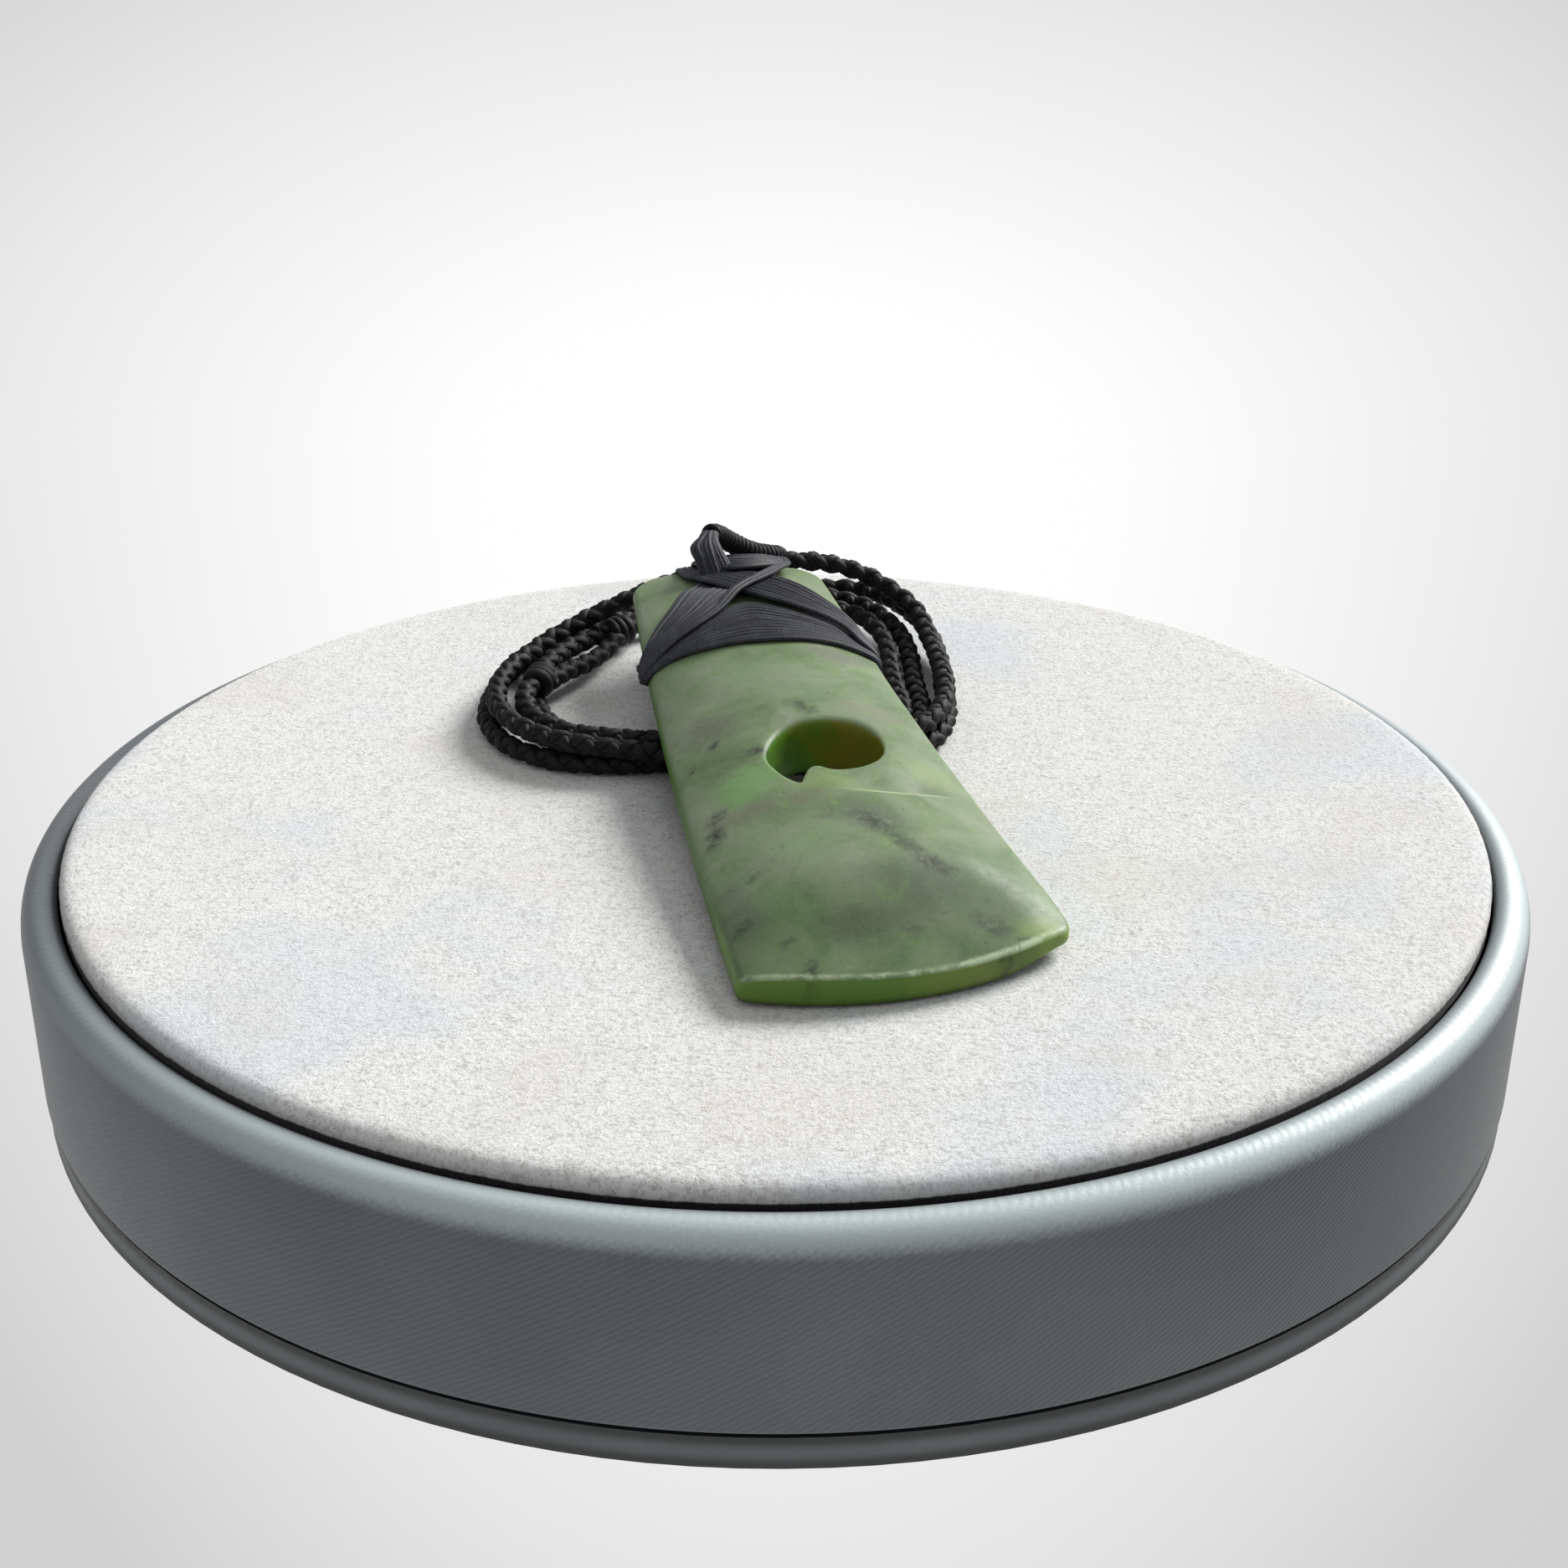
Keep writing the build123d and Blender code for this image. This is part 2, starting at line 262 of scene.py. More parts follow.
track_angles, track_insets = zip(*coil_tracks[::-1])
cord_route = [coil_point(*row) for row in coil_entry]
for angle in range(coil_tracks[0][0], coil_tracks[-1][0] - 1, -turn_step):
    inset = float(np.interp(angle, track_angles, track_insets))
    if inset > gape_inset:
        inset += gape * bell(((angle - gape_angle + 180) % 360 - 180) / gape_reach)
    inset += wander(inset_waves, angle)
    rise = sum(high * bell((angle - middle) / reach) for middle, high, reach in ridden)
    height = lower_height + rise + wander(height_waves, angle)
    cord_route.append(coil_point(angle, inset - ridden_shift * rise, height))
cord_route += [coil_point(*row) for row in coil_climb]
cord_route += [(x, y, pad_top + z) for x, y, z in span_route]
cord_route += [coil_point(*row) for row in coil_over]

cord_line = spline_line("neck_cord_line", cord_route)

steps_a_pitch = 17
braid_pitch = 5.2
braid_step = braid_pitch / steps_a_pitch
braid_reach = 0.64
braid_wave = 0.18
strand_side = 0.60
strand_up = 0.40
strands_each_way = 2
core_radius = 0.82


def braid(line, name):
    """A round braid of strands that pass over and under one another along a line."""
    path = resample(line, braid_step)
    _, normal, other = carried_frames(path)
    along = np.arange(len(path)) * braid_step
    wave = braid_wave * np.cos(2 * strands_each_way * pi * along / braid_pitch)
    loose = 1 + 0.05 * np.sin(along * 0.9) + 0.04 * np.sin(along * 0.37 + 1.0)
    parts = []
    for way in (1, -1):
        for strand in range(strands_each_way):
            around = way * 2 * pi * along / braid_pitch + 2 * pi * strand / strands_each_way
            outward = normal * np.cos(around)[:, None] + other * np.sin(around)[:, None]
            reach = (braid_reach + way * wave) * loose
            line_of_strand = path + outward * reach[:, None]
            tangent = unit(np.gradient(line_of_strand, axis=0))
            sideways = unit(np.cross(tangent, outward))
            upwards = np.cross(sideways, tangent)
            parts.append(tube(line_of_strand, sideways, upwards, strand_side, strand_up, 8))
    parts.append(round_tube(resample(line, 2 * braid_step), core_radius))
    return add_mesh(name, *joined(parts))


neck_cord = attach(braid(cord_line, "neck_cord"), "cord", "cord_span", "cord_coil")

# Sliding knots: middle over the pad, heading in degrees
knot_places = {
    "sliding_knot_a": ((-19.2, 40.5, 2.6), 40.0),
    "sliding_knot_b": ((-26.6, 22.0, 3.5), 78.0),
}
knot_radius = 1.8
knot_length = 4.6
knot_turns = 3
turn_radius = 0.72
turn_points = 24
knot_core = 1.0
knots = []
for node_name, (middle, way) in knot_places.items():
    turn = np.linspace(0.0, knot_turns * 2 * pi, knot_turns * turn_points)
    span = np.linspace(-0.5, 0.5, len(turn)) * (knot_length - 2 * turn_radius)
    swell = knot_radius - turn_radius + 0.1 - 0.7 * (2 * span / knot_length) ** 4
    swell += 0.06 * np.sin(turn * 0.73)
    heading = radians(way)
    spin = np.array([[cos(heading), sin(heading), 0], [-sin(heading), cos(heading), 0], [0, 0, 1]])
    middle = np.array(middle) + (0, 0, pad_top)
    turns = np.stack([span, swell * np.cos(turn), swell * np.sin(turn)], axis=1) @ spin + middle
    half = knot_length / 2 - 0.3
    core = np.linspace((-half, 0, 0), (half, 0, 0), 9) @ spin + middle
    tubes = [round_tube(turns, turn_radius, 10, 4), round_tube(core, knot_core, 14, 2)]
    knots.append(attach(add_mesh(node_name + "_wrap", *joined(tubes)), "cord", node_name))

# Blade: its own frame runs across it, along it from the edge, and up from its back
blade_heading = radians(13.45)
blade_tilt = radians(6.0)
blade_origin = np.array([11.76, -44.06, pad_top + seat_gap])
across_way = np.array([cos(blade_heading), sin(blade_heading), 0.0])
along_way = np.array(
    [-sin(blade_heading) * cos(blade_tilt), cos(blade_heading) * cos(blade_tilt), sin(blade_tilt)]
)
up_way = np.cross(across_way, along_way)
blade_axes = np.stack([across_way, along_way, up_way])


def on_blade(points):
    """Points of the blade's own frame placed in the scene, in millimetres."""
    return blade_origin + np.asarray(points) @ blade_axes


def arc_through(start, middle, end, count):
    """Points of the arc through three points, without its last."""
    (ax, ay), (bx, by), (cx, cy) = start, middle, end
    cross = 2 * (ax * (by - cy) + bx * (cy - ay) + cx * (ay - by))
    a2, b2, c2 = ax * ax + ay * ay, bx * bx + by * by, cx * cx + cy * cy
    ox = (a2 * (by - cy) + b2 * (cy - ay) + c2 * (ay - by)) / cross
    oy = (a2 * (cx - bx) + b2 * (ax - cx) + c2 * (bx - ax)) / cross
    first = np.arctan2(ay - oy, ax - ox)
    sweep = (np.arctan2(cy - oy, cx - ox) - first + pi) % (2 * pi) - pi
    angle = first + sweep * np.arange(count) / count
    reach = sqrt((ax - ox) ** 2 + (ay - oy) ** 2)
    return np.stack([ox + reach * np.cos(angle), oy + reach * np.sin(angle)], axis=1)


def straight(start, end, count):
    share = (np.arange(count) / count)[:, None]
    return np.array(start) * (1 - share) + np.array(end) * share


def rounded_loop(chains, radii):
    """A closed line from chains end to end; radii round the corner at each chain's start."""
    arcs = []
    trims = []
    for index, (chain, radius) in enumerate(zip(chains, radii)):
        before = unit(chain[0] - chains[index - 1][-1])
        after = unit(chain[1] - chain[0])
        side = np.sign(before[0] * after[1] - before[1] * after[0])
        turn = np.arccos(np.clip(before @ after, -1, 1))
        trims.append(radius * tan(turn / 2))
        start = chain[0] - before * trims[-1]
        middle = start + np.array([-before[1], before[0]]) * side * radius
        x, y = start - middle
        angle = np.linspace(0.0, side * turn, 9 if radius else 0)
        turned = [x * np.cos(angle) - y * np.sin(angle), x * np.sin(angle) + y * np.cos(angle)]
        arcs.append(middle + np.stack(turned, axis=1))
    pieces = []
    for index, chain in enumerate(chains):
        following = (index + 1) % len(chains)
        keep = np.linalg.norm(chain - chain[0], axis=1) >= trims[index]
        keep &= np.linalg.norm(chain - chains[following][0], axis=1) > trims[following]
        pieces += [arcs[index], chain[keep]]
    return np.concatenate(pieces)


left_tip = np.array((-0.476 * edge_width, 0.032 * blade_length))
edge_low = np.array((-0.060 * edge_width, 0.0))
right_tip = np.array((0.524 * edge_width, 0.060 * blade_length))
left_bulge = np.array((-0.434 * edge_width, 0.445 * blade_length))
right_waist = np.array((0.440 * edge_width, 0.335 * blade_length))
right_shoulder = np.array((0.400 * edge_width, 0.625 * blade_length))
edge_middle = 0.024 * edge_width
poll_middle = 0.058 * edge_width
poll_left = np.array((poll_middle - poll_width / 2, blade_length))
poll_right = np.array((poll_middle + poll_width / 2, blade_length))

blade_outline = rounded_loop(
    [
        arc_through(left_tip, edge_low, right_tip, 80),
        arc_through(right_tip, right_waist, right_shoulder, 100),
        straight(right_shoulder, poll_right, 60),
        straight(poll_right, poll_left, 50),
        arc_through(poll_left, left_bulge, left_tip, 160),
    ],
    [1.0, 2.4, 0.0, 4.2, 4.2],
)
blade_outline = resample(blade_outline, 0.5, closed=True)

# Eye: from the tip of its tail past the tongue, round the oval and back to the tip
eye_middle = 35.0
eye_route = [
    (-3.0, 28.5), (-2.4, 29.8), (-1.7, 30.9), (-0.7, 31.1), (0.3, 29.9), (1.9, 29.8), (4.2, 30.4),
    (5.9, 32.0), (6.8, 34.4), (6.6, 37.1), (5.2, 39.1), (3.0, 40.0), (0.5, 40.0), (-1.6, 39.5),
    (-3.4, 37.8), (-4.7, 35.5), (-5.0, 33.6), (-4.6, 31.6), (-4.0, 29.9), (-3.2, 28.6),
]
eye_outline = spline_line("eye", [(u, v, 0.0) for u, v in eye_route], 8)[:, :2]
eye_outline = resample(eye_outline[:-1], 0.36, closed=True)

# Along the blade: share of its length, crest and rim as shares of the thickness
blade_sections = np.array(
    [(-0.06, 1.02, 0.29), (0.42, 0.97, 0.20), (0.72, 0.89, 0.12), (0.88, 0.66, 0.15),
     (1.04, 0.16, 0.11)]
)
face_margin = 1.5
bevel_hollow = 22.0
bevel_axis = (-1.02, 24.78)
bevel_reach = 21
edge_fall = 0.035
crest_blend = 3.0
step_along = 24.8
step_bow = 0.029
step_middle = 6.5
step_depth = 0.85
step_reach = 5.7
step_edge = 0.24


def eased(values, column):
    """A column of the section table along the blade, its corners eased."""
    total = 0
    for shift in (-5.0, -2.5, 0.0, 2.5, 5.0):
        share = (values + shift) / blade_length
        total = total + np.interp(share, blade_sections[:, 0], blade_sections[:, column])
    return total / 5


def face_height(u, v):
    """Height of the arched face over the back, before the bevel, step and rounded rims."""
    share = v / blade_length
    centre = edge_middle + (poll_middle - edge_middle) * share
    half = (edge_width + (poll_width - edge_width) * share) / 2 + face_margin
    crest = blade_thickness * eased(v, 1)
    rise = crest - blade_thickness * eased(v, 2)
    radius = (half**2 + rise**2) / (2 * rise)
    reach = np.clip(np.abs(u - centre), 0, half + 1.5)
    return crest - radius + np.sqrt(radius**2 - reach**2)


def smooth(values):
    values = np.clip(values, 0, 1)
    return values * values * (3 - 2 * values)


def past_step(u, v):
    """Distance up the blade past the carved step's curved edge."""
    return v - step_along - step_bow * (u - step_middle) ** 2


def top_height(u, v):
    """Height of the finished face."""
    face = face_height(u, v)
    bevel = bevel_axis[1] - edge_fall * u
    bevel = bevel - np.sqrt(bevel_hollow**2 - np.clip(v - bevel_axis[0], 0, bevel_reach) ** 2)
    mix = np.clip(0.5 + 0.5 * (bevel - face) / crest_blend, 0, 1)
    height = bevel * (1 - mix) + face * mix - crest_blend * mix * (1 - mix)
    depth = step_depth * smooth((u + 1.0) / 5.5) * (1 - smooth((u - 7.5) / 4.0))
    past = past_step(u, v)
    scoop = smooth(past / step_edge) * np.clip(1 - past / step_reach, 0, 1) ** 1.3
    hand_ground = 0.03 * np.sin(0.45 * u + 1.0) * np.sin(0.31 * v) + 0.02 * np.sin(0.9 * u + 0.5 * v)
    return height - depth * scoop + hand_ground


rim_round = 0.5
left_round = 0.75
eye_round = 0.35
eye_far_round = 1.3
back_round = 0.5
tip_lift = 1.3
eye_taper = 0.5
# Mesh of the face: rings in from each outline, an even grid, closer rows along the step
ring_insets = (0.0, 0.04, 0.12, 0.24, 0.38, 0.55)
far_inside = 9.0
grid_start = (-18.0, -1.0)
grid_pitch = 0.52
row_share = 0.866
narrow_margin = 0.75
wide_margin = 1.35
wide_left_of = -5
step_start = -3
step_rows = (-0.12, 0.0, 0.07, 0.14, 0.22, 0.34, 0.52)


def fall(distance, radius):
    """Drop of a rounded rim at a distance in from its side."""
    gap = np.clip(radius - distance, 0, radius)
    return radius - np.sqrt(radius**2 - gap**2)


def loop_normals(loop):
    """Unit normals of a closed line, to the left of its run."""
    way = unit(np.roll(loop, -1, axis=0) - np.roll(loop, 1, axis=0))
    return np.stack([-way[:, 1], way[:, 0]], axis=1)


def inside_loop(points, loop):
    """Whether each point lies inside a closed line."""
    x, y = points.T[:, :, None]
    ax, ay = loop.T
    bx, by = np.roll(loop, -1, axis=0).T
    crosses = (ay > y) != (by > y)
    reach = ax + (y - ay) / np.where(by == ay, 1e-9, by - ay) * (bx - ax)
    return (np.sum(crosses & (x < reach), axis=1) % 2).astype(bool)


def loop_distance(points, loop):
    """Distance of each point from a closed line."""
    away = points[:, None] - loop
    run = np.roll(loop, -1, axis=0) - loop
    share = np.clip((away * run).sum(-1) / (run**2).sum(-1), 0, 1)
    return np.sqrt(((away - run * share[..., None]) ** 2).sum(-1).min(axis=1))


def face_points():
    """Points of the face away from its outlines: the grid, and rows along the step's edge."""
    rows = []
    for row in range(int((blade_length + 4) / (grid_pitch * row_share))):
        start = grid_start[0] + (grid_pitch / 2 if row % 2 else 0.0)
        for column in range(int((edge_width + 6) / grid_pitch)):
            rows.append((start + column * grid_pitch, grid_start[1] + row * grid_pitch * row_share))
    grid = np.array(rows)
    grid = grid[inside_loop(grid, blade_outline)]
    margin = np.where(grid[:, 0] < wide_left_of, wide_margin, narrow_margin)
    grid = grid[loop_distance(grid, blade_outline) > margin]
    margin = 0.7 + 1.5 * smooth((grid[:, 1] - eye_middle + 3.0) / 5.0)
    grid = grid[~inside_loop(grid, eye_outline) & (loop_distance(grid, eye_outline) > margin)]
    past = past_step(grid[:, 0], grid[:, 1])
    grid = grid[~((grid[:, 0] > step_start) & (past > -0.35) & (past < 0.75))]
    ridge = np.array([
        (u, step_along + step_bow * (u - step_middle) ** 2 + lift)
        for u in np.arange(step_start + 0.1, 13.0, 0.4)
        for lift in step_rows
    ])
    ridge = ridge[inside_loop(ridge, blade_outline)]
    ridge = ridge[loop_distance(ridge, blade_outline) > narrow_margin]
    return np.concatenate([grid, ridge])


def make_blade():
    """The blade as one closed mesh: face, back, side walls and the eye's wall."""
    plan, depth, rounding, edges = [], [], [], []
    stone_way = loop_normals(blade_outline)
    rim_radius = rim_round + (left_round - rim_round) * smooth((stone_way[:, 0] - 0.3) / 0.5)
    eye_way = -loop_normals(eye_outline)
    eye_radius = eye_round + (eye_far_round - eye_round) * smooth((eye_way[:, 1] + 0.3) / 1.2)
    rims = ((blade_outline, rim_radius, stone_way), (eye_outline, eye_radius, eye_way))
    for loop, radius, inward in rims:
        start = len(plan)
        edges += [(start + index, start + (index + 1) % len(loop)) for index in range(len(loop))]
        for inset in ring_insets:
            reach = inset * radius / rim_round
            plan.extend((loop + inward * reach[:, None]).tolist())
            depth.extend(reach.tolist())
            rounding.extend(radius.tolist())
    inner = face_points()
    plan.extend(inner.tolist())
    depth.extend([far_inside] * len(inner))
    rounding.extend([rim_round] * len(inner))
    result = geometry.delaunay_2d_cdt([Vector(point) for point in plan], edges, [], 1, 1e-5)
    points = np.array([point[:] for point in result[0]])
    triangles = np.array([list(face) for face in result[2]])
    triangles = triangles[~inside_loop(points[triangles].mean(axis=1), eye_outline)].tolist()
    depth_of = np.full(len(points), far_inside)
    round_of = np.full(len(points), rim_round)
    source = {origin: index for index, origins in enumerate(result[3]) for origin in origins}
    for origin, index in source.items():
        depth_of[index] = min(depth_of[index], depth[origin])
        round_of[index] = rounding[origin]
    top = top_height(points[:, 0], points[:, 1]) - fall(depth_of, round_of)
    back = fall(depth_of, back_round)
    back += tip_lift * smooth((points[:, 0] - 8.5) / 7.5) * smooth((9.0 - points[:, 1]) / 8.0)
    count = len(points)
    under = points.copy()
    eye_start = len(ring_insets) * len(blade_outline)
    eye_ring = [source[eye_start + index] for index in range(len(eye_outline))]
    under[eye_ring] -= eye_way * (eye_taper * smooth((eye_way[:, 1] + 0.1) / 0.8))[:, None]
    vertices = [np.column_stack([points, top]), np.column_stack([under, back])]
    faces = triangles + [[index + count for index in reversed(face)] for face in triangles]
    total = 2 * count
    start = 0
    for loop, rows in ((blade_outline, 5), (eye_outline, 6)):
        ring = [source[start + index] for index in range(len(loop))]
        start += len(ring_insets) * len(loop)
        upper = ring
        for row in range(1, rows):
            share = row / rows
            level = top[ring] * (1 - share) + back[ring] * share
            plan_ring = points[ring] + (under[ring] - points[ring]) * share**1.5
            vertices.append(np.column_stack([plan_ring, level]))
            lower = list(range(total, total + len(ring)))
            total += len(ring)
            faces += wall_faces(upper, lower)
            upper = lower
        faces += wall_faces(upper, [index + count for index in ring])
    return np.concatenate(vertices), faces


blade_points, blade_faces = make_blade()
blade = add_mesh("toki_blade_polished", on_blade(blade_points), blade_faces)
shell = bmesh.new()
shell.from_mesh(blade.data)
bmesh.ops.recalc_face_normals(shell, faces=shell.faces)
shell.to_mesh(blade.data)
shell.free()
blade.data.polygons.foreach_set("use_smooth", [True] * len(blade.data.polygons))
attach(blade, "greenstone", "toki_blade")

# Lashing
layer = thread + lash_gap
thread_size = 0.54
thread_uneven = 0.05
thread_sway = 0.12
plan_points = 160
lash_outline = resample(blade_outline, 1.0, closed=True)


def flow(points):
    """Points of a smooth line that passes near a few given ones."""
    line = spline_line("flow", [(x, y, 0.0) for x, y in points], 12)[:, :2]
    return evenly(line, plan_points)


def signed_inside(points):
    distance = loop_distance(points, lash_outline)
    return np.where(inside_loop(points, lash_outline), distance, -distance)


def seated(plan, lift, upper):
    """The stretch of a plan line that lies on the face or the back of the blade, lifted off it."""
    place = plan if upper else plan + np.array((0.0, lash_slant * 3.0))
    inside = signed_inside(place) + lift
    keep = inside > 0
    drop = fall(inside, (rim_round if upper else back_round) + lift)
    if upper:
        height = face_height(place[:, 0], place[:, 1]) + lift - drop
    else:
        height = drop - lift
    return np.column_stack([place, height])[keep]


def wrap_line(plan, lift):
    """A closed line about the blade: over the face, down the side, back and up the other side."""
    face = seated(plan, lift, True)
    back = seated(plan, lift, False)[::-1]
    down = np.linspace(face[-1], back[0], 5)[1:-1]
    rise = np.linspace(back[-1], face[0], 5)[1:-1]
    loop = np.concatenate([face, down, back, rise])
    loop = np.roll(loop, -(len(face) + len(down) + len(back) // 2), axis=0)
    return resample(np.vstack([loop, loop[:2]]), 0.7)


def bind(name, node_name, tubes):
    """A piece of the lashing, from tubes in the blade's own frame."""
    points, faces = joined(tubes)
    return attach(add_mesh(name, on_blade(points), faces), "lashing", node_name)


def strap(name, node_name, count, lifts, low, high):
    """Threads side by side between two plan lines, each lifted by where it lies."""
    low_line = flow(low)
    high_line = flow(high)
    along = np.linspace(0.0, 1.0, plan_points)
    parts = []
    for index in range(count):
        share = (index + 0.5) / count
        plan = low_line * (1 - share) + high_line * share
        lift = thread / 2 + layer * lifts(share, along)
        lift += thread_uneven * (index % 2 + random.uniform(-1, 1))
        sway = thread_sway * random.uniform(-1, 1) * np.sin(along * pi * random.integers(1, 4))
        plan = plan + np.stack([np.zeros(len(plan)), sway], axis=1)
        parts.append(round_tube(wrap_line(plan, lift), thread_size / 2, 7))
    return bind(name, node_name, parts)


# Layers of thread that a thread is raised by, from its share across the strap and along it
def flat_lift(share, along):
    return 0 * along


def step_up(along):
    """The lift of a strap that climbs from the side on to the turns below."""
    return 0.25 + 0.75 * smooth(along / 0.14)


def under_lift(share, along):
    return step_up(along) - 0.85 * smooth((along - 0.72) / 0.16)


def over_lift(share, along):
    """High beside the band, low beneath the strap that crosses it, and highest at the raised edge."""
    if share < 0.16:
        raised = smooth((along - 0.30) / 0.15) - 0.9 * smooth((along - 0.72) / 0.2)
        return step_up(along) + raised
    return step_up(along) - 0.95 * smooth((along - 0.42) / 0.14)


def head_lift(share, along):
    return 0.9 + 1.1 * smooth(along / 0.45) - smooth((along - 0.55) / 0.4)


straps = [
    strap(
        "band_threads", "lashing_band", 23, flat_lift,
        [(-13.2, 60.0), (-11.6, 60.8), (-9.4, 61.0), (-4.4, 59.2), (0.8, 58.2), (6.4, 58.2),
         (10.0, 57.8), (13.8, 56.3)],
        [(-13.2, 62.4), (-11.4, 63.0), (-8.3, 64.6), (-5.6, 66.4), (-1.5, 68.5), (0.8, 69.6),
         (3.1, 67.9), (6.3, 65.6), (9.6, 63.4), (11.2, 60.0), (13.8, 57.6)],
    ),
    strap(
        "under_threads", "lashing_cross_under", 14, under_lift,
        [(13.8, 57.2), (11.2, 58.6), (10.5, 61.4), (9.4, 63.6), (6.3, 65.6), (3.2, 68.4),
         (0.8, 71.2), (-0.6, 73.1), (-2.4, 77.2), (-3.4, 79.6), (-3.8, 82.0), (-3.8, 89.0)],
        [(13.8, 60.2), (12.1, 61.6), (11.8, 64.6), (11.1, 67.8), (9.9, 70.2), (8.4, 73.8),
         (6.6, 76.4), (3.5, 79.0), (0.0, 81.2), (-2.0, 83.6), (-2.4, 89.0)],
    ),
    strap(
        "over_threads", "lashing_cross_over", 17, over_lift,
        [(-13.2, 60.6), (-11.5, 61.6), (-9.0, 63.2), (-6.0, 64.5), (-2.2, 67.2), (0.4, 70.6),
         (2.3, 72.6), (4.7, 75.0), (8.6, 81.2), (9.4, 84.0), (9.4, 89.0)],
        [(-13.2, 63.0), (-11.5, 64.8), (-9.4, 68.6), (-7.6, 71.0), (-5.4, 75.2), (-3.6, 78.0),
         (-0.5, 80.6), (2.6, 83.0), (4.0, 89.0)],
    ),
    strap(
        "head_threads", "lashing_head", 12, head_lift,
        [(-1.9, 89.0), (-1.9, 84.6), (-1.4, 81.4), (0.2, 78.8), (3.2, 78.4), (6.8, 80.4),
         (8.6, 83.0), (9.0, 89.0)],
        [(0.4, 89.0), (0.5, 86.8), (1.2, 85.8), (3.0, 85.3), (5.4, 85.1), (7.0, 86.0), (7.6, 89.0)],
    ),
]

# Bail: the near leg's threads, from where it is sunk in the head, then the far leg's wrapping
bail_route = [
    (-0.2, 79.0, 3.2), (-0.6, 80.4, 4.7), (-0.9, 81.8, 5.9), (-0.8, 83.3, 6.5), (-0.2, 85.1, 6.7),
    (1.0, 86.4, 6.1), (2.8, 87.1, 4.6), (5.4, 87.6, 2.9), (8.0, 88.6, 1.9), (9.8, 90.6, 0.8),
    (9.4, 91.8, -1.6), (8.2, 89.0, -2.8), (7.2, 85.5, -2.6), (6.8, 81.0, -1.0),
]
bail_step = 0.3
bail_sunk = 2.0
near_leg = 6.6
leg_threads = 9
leg_thread_radius = 0.36
leg_core_radius = 0.66
wrap_pitch = 0.66
wrap_reach = 0.92
wrap_thread_radius = 0.38
far_radius = 0.98
bail_line = resample(spline_line("bail_line", bail_route), bail_step)
bail_run = np.arange(len(bail_line)) * bail_step - bail_sunk
bail_turn = int((near_leg + bail_sunk) / bail_step)
near_parts = []
for index in range(leg_threads):
    side = 2 * index / (leg_threads - 1) - 1
    spread = 0.55 + 1.15 * np.clip(1 - bail_run / 5.4, 0, 1)
    arch = sqrt(max(0.0, 1 - 0.85 * side * side))
    line = bail_line.copy()
    line[:, 0] += side * spread + 0.7 * min(side, 0) * np.exp(-(((bail_run - 2.6) / 1.3) ** 2))
    line[:, 1] -= arch * 0.45
    line[:, 2] += arch * 0.42 + 0.08 * np.sin(index * 2.1)
    near_parts.append(round_tube(line[:bail_turn], leg_thread_radius, 8, 2))
for side in (-0.5, 0.0, 0.5):
    core = (bail_line + (side, 0.0, 0.0))[: bail_turn + 4]
    near_parts.append(round_tube(core, leg_core_radius, 10, 2))
bail = bind("bail_threads", "lashing_bail", near_parts)

# The far leg is dressed in the black cord's material: partly a darker thread, partly painted shade, as it
# lies in shade behind the lit near leg
far_line = bail_line[bail_turn - 3 :]
_, far_normal, far_other = carried_frames(far_line)
wrap_run = np.linspace(0.0, len(far_line) - 1.0, len(far_line) * 8)
wrap_turn = 2 * pi * wrap_run * bail_step / wrap_pitch


def along_line(rows):
    return np.stack([np.interp(wrap_run, range(len(rows)), column) for column in rows.T], axis=1)


wrap_path = along_line(far_line) + wrap_reach * (
    along_line(far_normal) * np.cos(wrap_turn)[:, None] + along_line(far_other) * np.sin(wrap_turn)[:, None]
)
far_parts = [round_tube(far_line, far_radius, 14, 3), round_tube(wrap_path, wrap_thread_radius, 6, 2)]
bail_wrap = bind("bail_wrap", "lashing_bail", far_parts)

# Reach from the axis and height of the wrapped drum's section, its rim rolled in to the pad
drum_section = [
    (75.0, 3.55), (75.0, 3.7), (75.0, 8.0), (75.0, 14.0), (75.0, 19.1), (74.93, 19.7),
    (74.75, 20.3), (74.45, 20.8), (74.05, 21.2), (73.55, 21.5), (73.0, 21.66), (72.5, 21.7),
    (72.1, 21.64), (71.75, 21.45), (71.52, 21.15), (71.42, 20.8), (71.4, 20.3), (73.0, 20.2),
    (73.0, 3.7), (73.1, 3.55),
]
drum_segments = 480


def lathe(name, section, segments, finish=None):
    """A closed section turned about the stand's axis."""
    turn = np.arange(segments) * 2 * pi / segments
    reach, height = np.array(section).T
    height = np.tile(height, (segments, 1))
    rings = np.stack([np.outer(np.cos(turn), reach), np.outer(np.sin(turn), reach), height], axis=-1)
    if finish:
        rings = finish(rings)
    order = np.arange(height.size).reshape(height.shape)
    faces = []
    for here, there in zip(order.tolist(), np.roll(order, -1, axis=0).tolist()):
        faces += wall_faces(here, there)
    return add_mesh(name, rings.reshape(-1, 3), faces)


pad_radius = 71.2
pad_section = [
    (0.02, 20.5), (70.9, 20.5), (71.15, 20.6), (pad_radius, 20.9), (pad_radius, 21.6),
    (71.16, 22.1), (71.02, 22.5), (70.76, 22.84), (70.4, 23.08), (69.9, 23.22), (69.2, 23.29),
    (68.0, pad_top), (60.0, pad_top), (40.0, pad_top), (20.0, pad_top), (0.02, pad_top),
]
pad_segments = 720
pad_fray = 0.045


